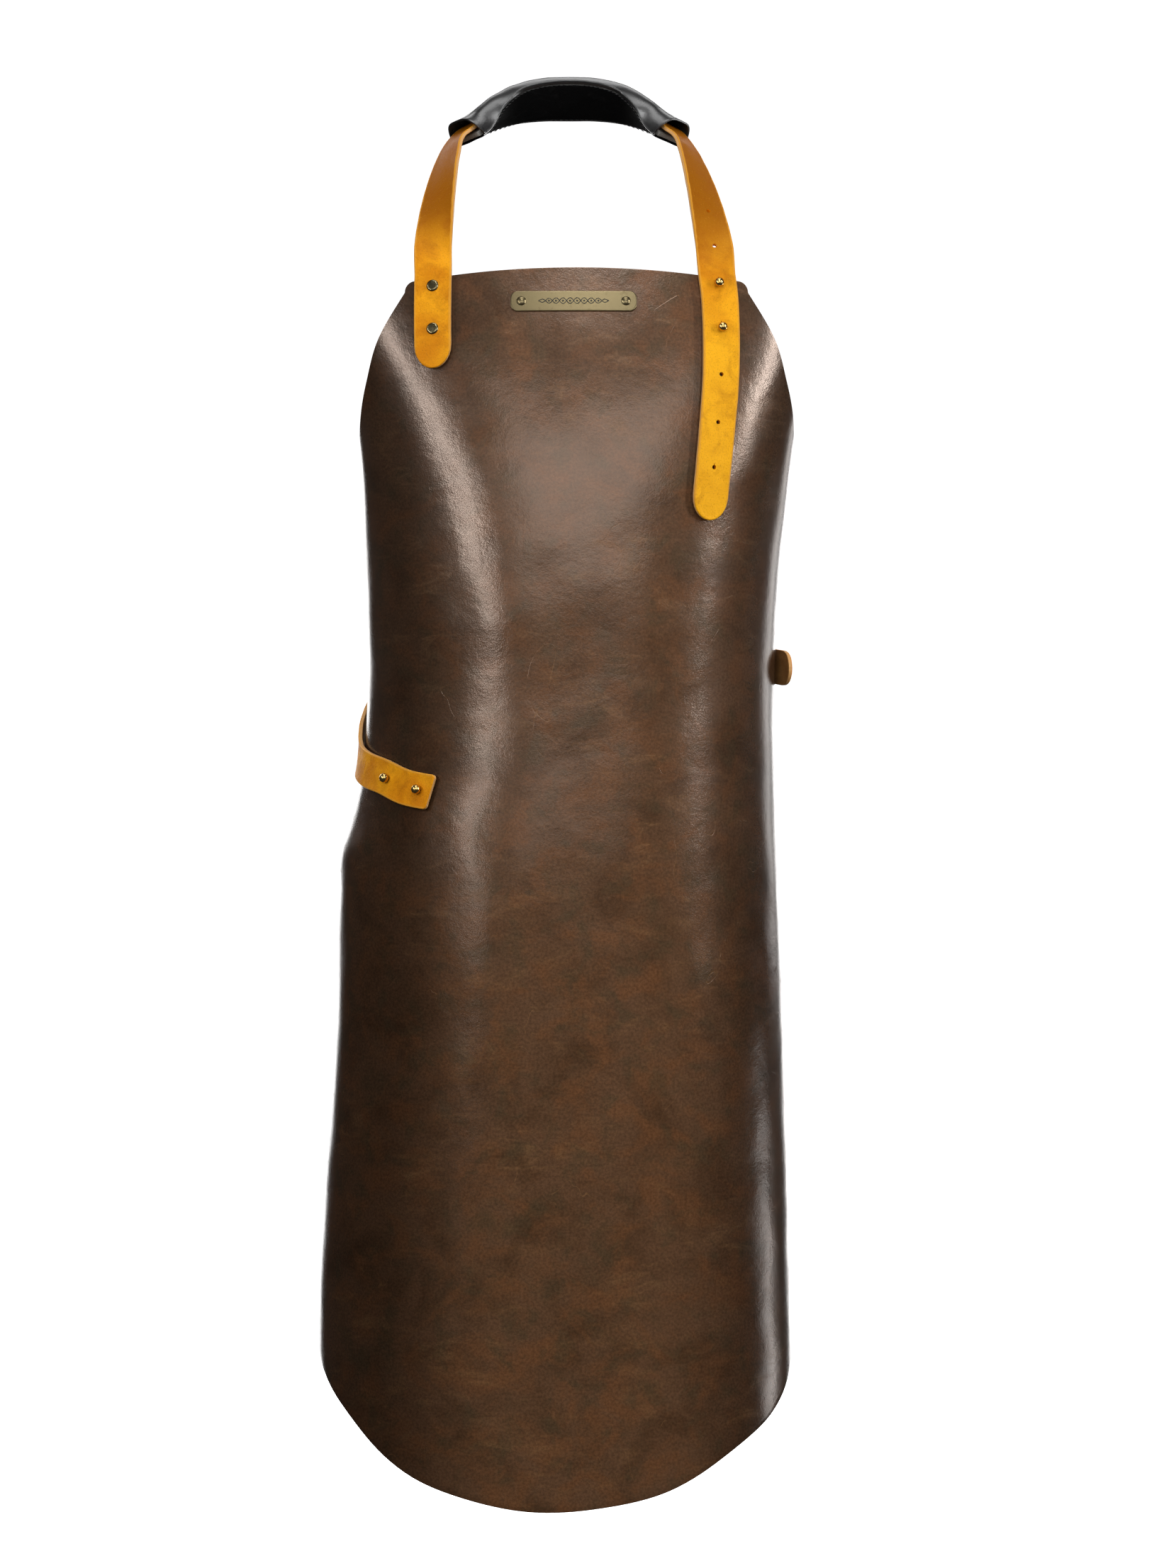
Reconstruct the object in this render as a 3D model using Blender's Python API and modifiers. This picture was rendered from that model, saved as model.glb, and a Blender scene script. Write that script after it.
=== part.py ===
"""Leather butcher apron: a wrapped bib and skirt, a neck strap with a sliding pad, and a buttoned waist belt.

Metres, +Z up, the front faces -Y. The origin is the middle of the neck pad's inner face, where the apron
hangs on the wearer's neck. Left and right are as seen by someone facing the apron.
"Down" is measured down the panel from the top of the bib. "Across" is measured along the leather, round
the wearer, from the centre front to the right. "Turn" is the angle round the wearer of the same walk.
"Lift" is how far a point stands off the form that the panel's outer face lies on.
"""

import math

import bmesh
import bpy
import numpy as np
from mathutils import Matrix, Vector

# The panel: one hide, cut flat, wrapped round the wearer.
PANEL_THICK = 0.0024
PANEL_HALF_WIDTH = 0.300
PANEL_LENGTH = 0.863
BIB_CROWN = 0.0085
BIB_CORNER = 0.008
SKIRT_TOP = 0.392

# The armhole's curve on the flat panel, from the bib's corner to the side's: down, half width.
ARMHOLE = (
    (0.0165, 0.1215),
    (0.0500, 0.1435),
    (0.0800, 0.1570),
    (0.1150, 0.1780),
    (0.1700, 0.2240),
    (0.2500, 0.3000),
)

# The form that the panel is wrapped on, as ellipses at several heights.
# Each row: down, half width, half depth, centre x, front y.
FORM = (
    (0.000, 0.1720, 0.048, 0.0000, 0.028),
    (0.060, 0.1630, 0.060, 0.0000, 0.013),
    (0.115, 0.1545, 0.077, 0.0000, 0.004),
    (0.210, 0.1480, 0.102, -0.0028, 0.000),
    (0.310, 0.1460, 0.113, -0.0043, 0.003),
    (0.360, 0.1490, 0.116, -0.0064, 0.003),
    (0.410, 0.1555, 0.118, -0.0112, 0.001),
    (0.530, 0.1600, 0.119, -0.0117, -0.002),
    (0.730, 0.1690, 0.124, -0.0155, -0.004),
    (0.880, 0.1710, 0.126, -0.0130, -0.006),
)

# The middle of the bib's top edge, as a place in the part's frame.
BIB_PLACE = Vector((0.0055, -0.1265, -0.1304))

# Straps. A rounded tip is longer than a half circle by the reach.
STRAP_THICK = 0.003
STRAP_LIFT = 0.0016
NECK_HALF_WIDTH = 0.01325
BELT_HALF_WIDTH = 0.0125
TAB_CORNER = 0.004
TIP_REACH = 1.25
TIP_FIRST_ANGLE = 12
TOUCH_GAP = 0.0003

# The left neck strap's middle line on the bib, then the right one's: down, across.
LEFT_STRAP_LINE = ((0.004, -0.1000), (0.020, -0.1003), (0.0715, -0.1000))
RIGHT_STRAP_LINE = ((0.004, 0.0978), (0.020, 0.0998), (0.045, 0.1010), (0.080, 0.1008),
                    (0.112, 0.0987), (0.145, 0.0966), (0.177, 0.0950))
ON_PANEL_STEP = 0.006

# The neck loop between them, from the bib up to the pad: half span, y and z from the bib's place,
# and how far the grain face has turned from facing forwards.
LOOP_KEYS = (
    (0.0988, 0.0380, 0.0120, 2.0),
    (0.0984, 0.0415, 0.0200, 10.0),
    (0.0965, 0.0510, 0.0380, 24.0),
    (0.0930, 0.0675, 0.0620, 40.0),
    (0.0885, 0.0860, 0.0835, 55.0),
    (0.0832, 0.0995, 0.0987, 63.0),
)
LOOP_LEAN = -0.0055
LOOP_LEAN_AT_BIB = -0.0012
LOOP_LEAN_HEIGHT = 0.100

# The arc over the back of the neck: its radius, its top, the way up in its plane, and its half angle.
NECK_RADIUS = 0.091
NECK_TOP = Vector((0.0, 0.133, 0.138))
NECK_UP = Vector((0.0, 0.65, 0.76)).normalized()
NECK_SHOULDER = 0.0030
NECK_ARC = 52.0
NECK_ARC_STEP = 13.0
NECK_TURN_MID = 130.5
NECK_TURN_END = 72.0

# The pad: a sleeve round the strap, with foam and a lining on the neck's side.
PAD_HALF_ANGLE = 54.0
PAD_HALF_WIDTH = 0.0208
PAD_END_TAPER = 0.20
PAD_COVER_THICK = 0.0013
COVER_LIP = 222.0
PAD_TOP = 0.0038
PAD_BOTTOM = -0.0102
PAD_LINING_HALF_WIDTH = 0.0165
PAD_LINING_THICK = 0.0010
PAD_FOAM_HALF_WIDTH = 0.0146
PAD_FOAM_TOP = -0.0050
PAD_FOAM_BOTTOM = -0.0085

# The belt's middle line: turn in degrees, down, and lift. It is buttoned at the front left, passes
# behind the wearer and is riveted at the right side, where its tip curls away from the panel.
BELT_LINE = (
    (-37.5, 0.3672, STRAP_LIFT),
    (-48.0, 0.3632, STRAP_LIFT),
    (-58.0, 0.3562, STRAP_LIFT),
    (-72.0, 0.3500, STRAP_LIFT),
    (-88.0, 0.3400, STRAP_LIFT),
    (-103.0, 0.3180, 0.0030),
    (-116.0, 0.2965, 0.0030),
    (-130.0, 0.2830, 0.0022),
    (-150.0, 0.2750, STRAP_LIFT),
    (-180.0, 0.2715, STRAP_LIFT),
    (-215.0, 0.2720, STRAP_LIFT),
    (-240.0, 0.2735, STRAP_LIFT),
    (-255.0, 0.2750, STRAP_LIFT),
    (-265.0, 0.2765, 0.0022),
    (-271.0, 0.2775, 0.0060),
    (-277.0, 0.2785, 0.0110),
)
BELT_STEP = 3.5
BELT_HINGE_TURN = -72.0
BELT_STUD_TURNS = {"front": -42.4, "rear": -56.0}
BELT_RIVET_TURNS = {"front": -259.5, "rear": -246.0}

# Fasteners on the bib: down, across.
NECK_RIVETS = {"upper": (0.0135, -0.1002), "lower": (0.0440, -0.1001)}
NECK_STUDS = {"upper": (0.0122, 0.0988), "lower": (0.0435, 0.1010)}
PLATE_RIVETS = {"left": (0.0245, -0.0383), "right": (0.0245, 0.0345)}
FREE_HOLES_BELOW = (0.0755, 0.1090, 0.1405)
FREE_HOLES_ABOVE = (0.0050, 0.0350)
TAIL_HINGE = (0.0600, 0.1010)

# Name plate.
PLATE_MIDDLE = (0.0245, -0.0019)
PLATE_HALF_LENGTH = 0.0440
PLATE_HALF_HEIGHT = 0.0072
PLATE_CORNER = 0.0050
PLATE_THICK = 0.0010

# Hardware.
HOLE_RADIUS = 0.0021
FREE_HOLE_RADIUS = 0.0015
TAB_HOLE_HALF_SIZE = (0.0068, 0.0043)
TAB_HOLE_SHIFT = 0.0016
BELT_TAIL_HOLE_TURN = -101.0
BALL_RADIUS = 0.0034
NECK_RADIUS_OF_STUD = 0.0017
FLANGE_RADIUS = 0.0044
FLANGE_THICK = 0.0010
SHANK_RADIUS = 0.0011
BORE_RADIUS = 0.0014
POST_WALL = 0.0004
CAP_RADIUS = 0.0043
CAP_HEIGHT = 0.0013
SMALL_CAP_RADIUS = 0.0034
BACK_CAP_RADIUS = 0.0045
BACK_CAP_RIM = 0.0006
BACK_CAP_HEIGHT = 0.0012
BACK_GAP = 0.0009
BACK_CHAMFER = 0.0008
SCREW_RIM = 0.0008
SCREW_HEAD_HEIGHT = 0.0013
SCREW_SLOT_SIZE = (0.0011, 0.0120, 0.0012)

# How finely surfaces are divided: columns, rows.
BIB_GRID = (48, 22)
BIB_ROW_CROWDING = 1.25
SKIRT_GRID = (40, 15)
PAD_COVER_GRID = (22, 16)
PAD_FLAT_GRID = (22, 3)
PLATE_ROWS = 4
PANEL_ROW_SPACING = 0.012
FREE_ROW_SPACING = 0.010
LATHE_STEPS = 14
CUTTER_SEGMENTS = 14
CUTTER_DEPTH = 0.020

LEATHER = ((0.070, 0.040, 0.028), 0.45, 0.0)
TAN = ((0.55, 0.22, 0.03), 0.55, 0.0)
BLACK_LEATHER = ((0.010, 0.010, 0.011), 0.35, 0.0)
SUEDE = ((0.006, 0.006, 0.007), 0.9, 0.0)
FOAM = ((0.35, 0.34, 0.32), 0.9, 0.0)
BRASS = ((0.36, 0.25, 0.10), 0.4, 1.0)
STEEL = ((0.45, 0.42, 0.36), 0.35, 1.0)


def clear_scene():
    for item in list(bpy.data.objects):
        bpy.data.objects.remove(item)


def new_collection(name):
    collection = bpy.data.collections.new(name)
    bpy.context.scene.collection.children.link(collection)
    return collection


clear_scene()
PARTS = new_collection("butcher_apron")
CUTTERS = new_collection("cutters")


def smooth(table, at):
    """Every later column of a table of stations, read at a value of its first column on a smooth curve."""
    keys = np.array([row[0] for row in table], dtype=float)
    values = np.array([row[1:] for row in table], dtype=float)
    slopes = np.gradient(values, keys, axis=0)
    index = int(np.clip(np.searchsorted(keys, at) - 1, 0, len(keys) - 2))
    span = keys[index + 1] - keys[index]
    f = float(np.clip((at - keys[index]) / span, 0.0, 1.0))
    start, stop = values[index], values[index + 1]
    lead, tail = slopes[index] * span, slopes[index + 1] * span
    return (
        start * (1 + 2 * f) * (1 - f) ** 2
        + lead * f * (1 - f) ** 2
        + stop * f * f * (3 - 2 * f)
        + tail * f * f * (f - 1)
    )


TURNS = np.linspace(-math.pi, math.pi, 721)


def turn_at(across, down):
    """The angle round the form's ellipse that lies a given length across the leather."""
    half_width, half_depth = smooth(FORM, down)[:2]
    pace = np.hypot(half_width * np.cos(TURNS), half_depth * np.sin(TURNS))
    steps = (pace[1:] + pace[:-1]) / 2 * np.diff(TURNS)
    length = np.concatenate(([0.0], np.cumsum(steps)))
    length -= length[len(TURNS) // 2]
    return float(np.interp(across, length, TURNS))


def form_face(turn, down):
    half_width, half_depth, centre, front = smooth(FORM, down)
    x = centre + half_width * math.sin(turn)
    y = front + half_depth * (1 - math.cos(turn))
    return BIB_PLACE + Vector((x, y, -down))


def form_normal(turn, down):
    step = 1e-4
    along = form_face(turn + step, down) - form_face(turn - step, down)
    under = form_face(turn, down + step) - form_face(turn, down - step)
    return under.cross(along).normalized()


def form_point(turn, down, lift=0.0):
    return form_face(turn, down) + form_normal(turn, down) * lift


def panel_point(across, down, lift=0.0):
    return form_point(turn_at(across, down), down, lift)


def panel_frame(across, down):
    """A matrix at the panel's outer face: Z out of the panel, X across it."""
    turn = turn_at(across, down)
    return turned_frame(form_face(turn, down), form_normal(turn, down), Vector((0, 0, 1)))


def turned_frame(place, out, up):
    """A matrix at a place, with Z along out and Y as near to up as it can be."""
    side = up.cross(out).normalized()
    rise = out.cross(side)
    frame = Matrix((side, rise, out)).transposed().to_4x4()
    frame.translation = place
    return frame


def bib_half_width(down):
    """Half of the flat panel's width: a rounded corner, the armhole's curve, then a straight side."""
    top, half_width = ARMHOLE[0]
    if down < top:
        rise = min((top - down) / BIB_CORNER, 1.0)
        return half_width - BIB_CORNER * (1 - math.sqrt(1 - rise * rise))
    return min(float(smooth(ARMHOLE, down)[0]), PANEL_HALF_WIDTH)


def hem_down(across):
    """The semicircular hem."""
    reach = math.sqrt(max(PANEL_HALF_WIDTH**2 - across**2, 0.0))
    return PANEL_LENGTH - PANEL_HALF_WIDTH + reach


def material(name, look):
    colour, roughness, metallic = look
    made = bpy.data.materials.new(name)
    made.use_nodes = True
    shader = made.node_tree.nodes["Principled BSDF"]
    shader.inputs["Base Color"].default_value = (*colour, 1.0)
    shader.inputs["Roughness"].default_value = roughness
    shader.inputs["Metallic"].default_value = metallic
    return made


def finish(name, bm, look, collection=PARTS):
    mesh = bpy.data.meshes.new(name)
    bm.to_mesh(mesh)
    bm.free()
    made = bpy.data.objects.new(name, mesh)
    collection.objects.link(made)
    if look:
        mesh.materials.append(material(name, look))
    return made


def shade(made, degrees=35):
    made.data.shade_smooth()
    made.data.set_sharp_from_angle(angle=math.radians(degrees))


def thicken(made, thickness):
    modifier = made.modifiers.new("thickness", "SOLIDIFY")
    modifier.thickness = thickness
    modifier.offset = -1
    modifier.use_even_offset = True
    return made


def mapped_grid(name, columns, rows, place, look):
    """A grid primitive laid on a surface: place(f, g) has f from -1 to 1 and g from 0 at the top to 1."""
    bm = bmesh.new()
    bmesh.ops.create_grid(bm, x_segments=columns, y_segments=rows, size=1)
    for vert in bm.verts:
        vert.co = place(vert.co.x, (1 - vert.co.y) / 2)
    made = finish(name, bm, look)
    shade(made)
    return made


def cutter(name, frame, half_size):
    """A cylinder or elliptic cylinder, hidden, centred on a frame's origin and along its Z."""
    bm = bmesh.new()
    bmesh.ops.create_cone(
        bm, cap_ends=True, segments=CUTTER_SEGMENTS, radius1=1, radius2=1, depth=CUTTER_DEPTH,
        matrix=Matrix.Diagonal((*half_size, 1, 1)),
    )
    bmesh.ops.transform(bm, matrix=frame, verts=bm.verts)
    made = finish(name, bm, None, CUTTERS)
    made.hide_render = True
    made.display_type = "WIRE"
    return made


def cut(made, cutters):
    for tool in cutters:
        modifier = made.modifiers.new(tool.name, "BOOLEAN")
        modifier.operation = "DIFFERENCE"
        modifier.solver = "EXACT"
        modifier.object = tool


def lathe(name, profile, frame, look, steps=LATHE_STEPS):
    """A turned piece: its profile is radius and height, from the top down the outer side."""
    bm = bmesh.new()
    verts = [bm.verts.new((radius, 0, height)) for radius, height in profile]
    for upper, lower in zip(verts, verts[1:]):
        bm.edges.new((upper, lower))
    made = finish(name, bm, look)
    made.matrix_world = frame
    screw = made.modifiers.new("turn", "SCREW")
    screw.steps = steps
    screw.render_steps = steps
    screw.use_merge_vertices = True
    screw.merge_threshold = 0.00001
    screw.use_smooth_shade = True
    return made


# ---- Paths of the straps -------------------------------------------------------------------------


class Path:
    """A strap's middle line on its grain face: places and outward directions, read by length."""

    def __init__(self, places, outs):
        places = np.array(places)
        outs = np.array(outs)
        marks = np.arange(len(places))
        fine = np.linspace(0, len(places) - 1, 8 * (len(places) - 1) + 1)
        table = [(m, *p, *n) for m, p, n in zip(marks, places, outs)]
        samples = np.array([smooth(table, m) for m in fine])
        self.places = samples[:, :3]
        self.outs = samples[:, 3:]
        self.marks = fine
        gaps = np.linalg.norm(np.diff(self.places, axis=0), axis=1)
        self.lengths = np.concatenate(([0.0], np.cumsum(gaps)))

    def read(self, values, length):
        return Vector([float(np.interp(length, self.lengths, values[:, k])) for k in range(3)])

    def length_at(self, mark):
        return float(np.interp(mark, self.marks, self.lengths))

    def length_near(self, place):
        return float(self.lengths[np.argmin(np.linalg.norm(self.places - np.array(place), axis=1))])

    def at(self, length):
        """Place, outward direction and the direction across the strap."""
        step = 0.0008
        place = self.read(self.places, length)
        ahead = self.read(self.places, length + step) - self.read(self.places, length - step)
        out = self.read(self.outs, length)
        across = out.cross(ahead).normalized()
        return place, ahead.cross(across).normalized(), across

    def frame(self, length):
        place, out, across = self.at(length)
        return turned_frame(place, out, out.cross(across))


def strap_rows(start, stop, half_width, spacing, start_corner=0.0, stop_corner=0.0):
    """Lengths along a strap with half widths, closer together where a corner is rounded."""
    rows = []
    for corner, end, inward in ((start_corner, start, 1), (stop_corner, stop, -1)):
        first = TIP_FIRST_ANGLE if corner >= half_width else 0
        angles = [math.radians(a) for a in np.linspace(first, 90, 7)] if corner else []
        reach = corner * TIP_REACH
        rows += [
            (end + inward * reach * (1 - math.cos(a)), half_width - corner + corner * math.sin(a))
            for a in angles
        ]
    low = start + start_corner * TIP_REACH
    high = stop - stop_corner * TIP_REACH
    count = max(2, round((high - low) / spacing) + 1)
    keep = [
        length for length in np.linspace(low, high, count)
        if all(abs(length - row[0]) > 1e-5 for row in rows)
    ]
    return sorted(rows + [(length, half_width) for length in keep])


def ribbon(name, path, rows, look, thickness=STRAP_THICK, columns=2):
    """A strap along a path, through rows of length and half width."""
    last = len(rows) - 1

    def place(f, g):
        length, half_width = rows[round(g * last)]
        middle, _, across = path.at(length)
        return middle + across * (f * half_width)

    return thicken(mapped_grid(name, columns, last, place, look), thickness)


def neck_path():
    """The whole neck strap, left tip to right tip, and the marks of its folds and its middle."""
    places, outs = [], []

    def on_panel(line, backwards=False):
        count = round((line[-1][0] - line[0][0]) / ON_PANEL_STEP) + 1
        downs = np.linspace(line[0][0], line[-1][0], count)
        for down in reversed(downs) if backwards else downs:
            turn = turn_at(float(smooth(line, down)[0]), down)
            out = form_normal(turn, down)
            places.append(form_face(turn, down) + out * (STRAP_LIFT + STRAP_THICK))
            outs.append(out)

    def free(x, y, z, degrees, ahead):
        lean = LOOP_LEAN_AT_BIB + (LOOP_LEAN - LOOP_LEAN_AT_BIB) * min(z / LOOP_LEAN_HEIGHT, 1.0)
        places.append(BIB_PLACE + Vector((x + lean, y, z)))
        forward = Vector((0, -1, 0))
        facing = (forward - ahead * forward.dot(ahead)).normalized()
        aside = facing.cross(ahead)
        angle = math.radians(degrees)
        outs.append(facing * math.cos(angle) + aside * math.sin(angle))

    def loop_half(side):
        """The free strap on one side, bottom to top on the left (-1), top to bottom on the right."""
        points = [Vector((side * x, y, z)) for x, y, z, _ in LOOP_KEYS]
        keys = list(range(len(points)))
        for key in keys if side < 0 else reversed(keys):
            ahead = points[min(key + 1, keys[-1])] - points[max(key - 1, 0)]
            free(*points[key], LOOP_KEYS[key][3], (ahead * -side).normalized())

    marks = {}
    on_panel(LEFT_STRAP_LINE, backwards=True)
    marks["left_fold"] = len(places)
    loop_half(-1)
    marks["middle"] = len(places) + NECK_ARC / NECK_ARC_STEP
    centre = NECK_TOP - NECK_UP * NECK_RADIUS
    for degrees in np.arange(-NECK_ARC, NECK_ARC + 1, NECK_ARC_STEP):
        angle = math.radians(degrees)
        reach = abs(degrees) / NECK_ARC
        radius = NECK_RADIUS + NECK_SHOULDER * math.sin(math.pi * reach) ** 2
        spot = centre + radius * (Vector((math.sin(angle), 0, 0)) + NECK_UP * math.cos(angle))
        ahead = Vector((math.cos(angle), 0, 0)) - NECK_UP * math.sin(angle)
        free(*spot, NECK_TURN_MID + (NECK_TURN_END - NECK_TURN_MID) * reach * reach, ahead)
    loop_half(1)
    marks["right_fold"] = len(places) - 1
    on_panel(RIGHT_STRAP_LINE)
    return Path(places, outs), marks


def belt_path():
    places, outs = [], []
    for degrees in BELT_TURNS:
        down, lift = smooth(BELT_TABLE, -degrees)
        turn = math.radians(degrees)
        out = form_normal(turn, down)
        places.append(form_face(turn, down) + out * (lift + STRAP_THICK))
        outs.append(out)
    return Path(places, outs)


NECK, NECK_MARKS = neck_path()
LEFT_FOLD = NECK.length_at(NECK_MARKS["left_fold"])
RIGHT_FOLD = NECK.length_at(NECK_MARKS["right_fold"])
PAD_MIDDLE = NECK.length_at(NECK_MARKS["middle"])
FOLD_GAP = STRAP_THICK / 2 + TOUCH_GAP
BELT_TABLE = tuple((-degrees, down, lift) for degrees, down, lift in BELT_LINE)
BELT_TURNS = np.arange(BELT_LINE[0][0], BELT_LINE[-1][0] - 1, -BELT_STEP)
BELT = belt_path()
TAIL_START = NECK.length_near(panel_point(TAIL_HINGE[1], TAIL_HINGE[0], STRAP_LIFT + STRAP_THICK))


def belt_length(degrees):
    """How far along the belt a turn lies."""
    return BELT.length_at((BELT_TURNS[0] - degrees) / BELT_STEP)


# ---- Panel ---------------------------------------------------------------------------------------


def side_spread(f):
    """Columns that lie closer together towards the panel's sides."""
    return math.sin(f * math.pi / 2)


def make_panel():
    def bib_place(f, g):
        spread = side_spread(f)
        top = BIB_CROWN * spread * spread
        down = top + (SKIRT_TOP - top) * g**BIB_ROW_CROWDING
        return panel_point(spread * bib_half_width(down), down)

    def skirt_place(f, g):
        across = side_spread(f) * PANEL_HALF_WIDTH
        low = hem_down(across)
        return panel_point(across, SKIRT_TOP + TOUCH_GAP + (low - SKIRT_TOP) * g)

    bib = thicken(mapped_grid("apron_bib", *BIB_GRID, bib_place, LEATHER), PANEL_THICK)
    skirt = thicken(mapped_grid("apron_skirt", *SKIRT_GRID, skirt_place, LEATHER), PANEL_THICK)
    return bib, skirt


def hole_cutter(name, frame, radius):
    return cutter(name, frame, (radius, radius))


# ---- Hardware ------------------------------------------------------------------------------------


def ball_stud(name, frame, strap_top):
    """A ball-headed stud: flange on the panel, neck through the strap, a bore for its screw."""
    ball_low = strap_top + TOUCH_GAP
    middle = ball_low + BALL_RADIUS * 0.80
    angles = [math.radians(a) for a in (90, 60, 35, 10, -15, -40, -56)]
    profile = [(BALL_RADIUS * math.cos(a), middle + BALL_RADIUS * math.sin(a)) for a in angles]
    profile[0] = (0.0, middle + BALL_RADIUS)
    foot = TOUCH_GAP
    profile += [
        (NECK_RADIUS_OF_STUD, ball_low - 0.0004),
        (NECK_RADIUS_OF_STUD, foot + FLANGE_THICK),
        (FLANGE_RADIUS, foot + FLANGE_THICK),
        (FLANGE_RADIUS, foot),
        (BORE_RADIUS, foot),
        (BORE_RADIUS, ball_low),
        (0.0, ball_low),
    ]
    return lathe(name, profile, frame, BRASS)


def stud_screw(name, frame):
    """A slotted screw from behind the panel, with its shank in the stud's bore."""
    head_top = -PANEL_THICK - BACK_GAP
    tip = STRAP_LIFT + STRAP_THICK - TOUCH_GAP
    profile = [
        (0.0, tip),
        (SHANK_RADIUS, tip),
        (SHANK_RADIUS, head_top),
        (BACK_CAP_RADIUS, head_top),
        (BACK_CAP_RADIUS, head_top - SCREW_RIM),
        (BACK_CAP_RADIUS - BACK_CHAMFER, head_top - SCREW_HEAD_HEIGHT),
        (0.0, head_top - SCREW_HEAD_HEIGHT),
    ]
    made = lathe(name, profile, frame, STEEL)
    slot = bmesh.new()
    bmesh.ops.create_cube(slot, size=1, matrix=Matrix.Diagonal((*SCREW_SLOT_SIZE, 1)))
    low = frame @ Matrix.Translation((0, 0, head_top - SCREW_HEAD_HEIGHT))
    bmesh.ops.transform(slot, matrix=low, verts=slot.verts)
    tool = finish(f"{name}_slot", slot, None, CUTTERS)
    tool.hide_render = True
    tool.display_type = "WIRE"
    cut(made, [tool])
    return made


def cap_rivet(name, frame, top, cap_radius, look=BRASS):
    """A cap with a hollow post that goes through the strap and the panel."""
    low = top + TOUCH_GAP
    post_end = -PANEL_THICK + TOUCH_GAP
    bore = SHANK_RADIUS + TOUCH_GAP
    post = bore + POST_WALL
    profile = [
        (0.0, low + CAP_HEIGHT),
        (cap_radius * 0.55, low + CAP_HEIGHT * 0.93),
        (cap_radius * 0.88, low + CAP_HEIGHT * 0.65),
        (cap_radius, low + CAP_HEIGHT * 0.25),
        (cap_radius, low),
        (post, low),
        (post, post_end),
        (bore, post_end),
        (bore, low),
        (0.0, low),
    ]
    return lathe(name, profile, frame, look)


def back_cap(name, frame, top):
    """The rivet's other half, on the panel's inner face, with its pin inside the post."""
    face = -PANEL_THICK - BACK_GAP
    tip = top - TOUCH_GAP
    profile = [
        (0.0, tip),
        (SHANK_RADIUS, tip),
        (SHANK_RADIUS, face),
        (BACK_CAP_RADIUS, face),
        (BACK_CAP_RADIUS, face - BACK_CAP_RIM),
        (BACK_CAP_RADIUS - BACK_CHAMFER, face - BACK_CAP_HEIGHT),
        (0.0, face - BACK_CAP_HEIGHT),
    ]
    return lathe(name, profile, frame, BRASS)


def make_fasteners(bib):
    """Every fastener, with its hole through the panel. Returns the frames on the straps."""
    strap_top = STRAP_LIFT + STRAP_THICK
    frames = {}
    for key, (down, across) in NECK_RIVETS.items():
        frames["neck_rivet", key] = panel_frame(across, down)
    for key, (down, across) in NECK_STUDS.items():
        frames["neck_stud", key] = panel_frame(across, down)
    for key, (down, across) in PLATE_RIVETS.items():
        frames["plate_rivet", key] = panel_frame(across, down)
    for kind, turns in (("belt_stud", BELT_STUD_TURNS), ("belt_rivet", BELT_RIVET_TURNS)):
        for key, degrees in turns.items():
            length = belt_length(degrees)
            down = BIB_PLACE.z - BELT.at(length)[0].z
            turn = math.radians(degrees)
            spot = form_face(turn, down)
            frames[kind, key] = turned_frame(spot, form_normal(turn, down), Vector((0, 0, 1)))
    for (kind, key), frame in frames.items():
        if kind.endswith("stud"):
            ball_stud(f"{kind}_{key}", frame, strap_top)
            stud_screw(f"{kind}_screw_{key}", frame)
        else:
            on_plate = kind == "plate_rivet"
            top = TOUCH_GAP + PLATE_THICK if on_plate else strap_top
            radius = SMALL_CAP_RADIUS if on_plate else CAP_RADIUS
            cap_rivet(f"{kind}_{key}", frame, top, radius)
            back_cap(f"{kind}_back_{key}", frame, top)
    holes = [
        hole_cutter(f"panel_hole_{kind}_{key}", frame, HOLE_RADIUS)
        for (kind, key), frame in frames.items()
    ]
    cut(bib, holes)
    return frames


def make_name_plate(frames):
    """A thin brass plate with round corners, bent to the bib."""
    corner = [PLATE_CORNER * (1 - math.cos(math.radians(a))) for a in (0, 30, 60, 90)]
    ends = [PLATE_HALF_LENGTH - step for step in corner]
    inner = [PLATE_HALF_LENGTH * k for k in (0.66, 0.44, 0.22)]
    stations = sorted([-x for x in ends + inner] + [0.0] + ends + inner)
    last = len(stations) - 1

    def place(f, g):
        x = stations[round((f + 1) / 2 * last)]
        past = max(abs(x) - (PLATE_HALF_LENGTH - PLATE_CORNER), 0.0)
        half = PLATE_HALF_HEIGHT - PLATE_CORNER + math.sqrt(PLATE_CORNER**2 - past**2)
        down, across = PLATE_MIDDLE
        return panel_point(across + x, down + (2 * g - 1) * half, TOUCH_GAP + PLATE_THICK)

    plate = thicken(mapped_grid("name_plate", last, PLATE_ROWS, place, BRASS), PLATE_THICK)
    cut(plate, [
        hole_cutter(f"plate_hole_{key}", frame, HOLE_RADIUS)
        for (kind, key), frame in frames.items() if kind == "plate_rivet"
    ])


# ---- Straps --------------------------------------------------------------------------------------


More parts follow.
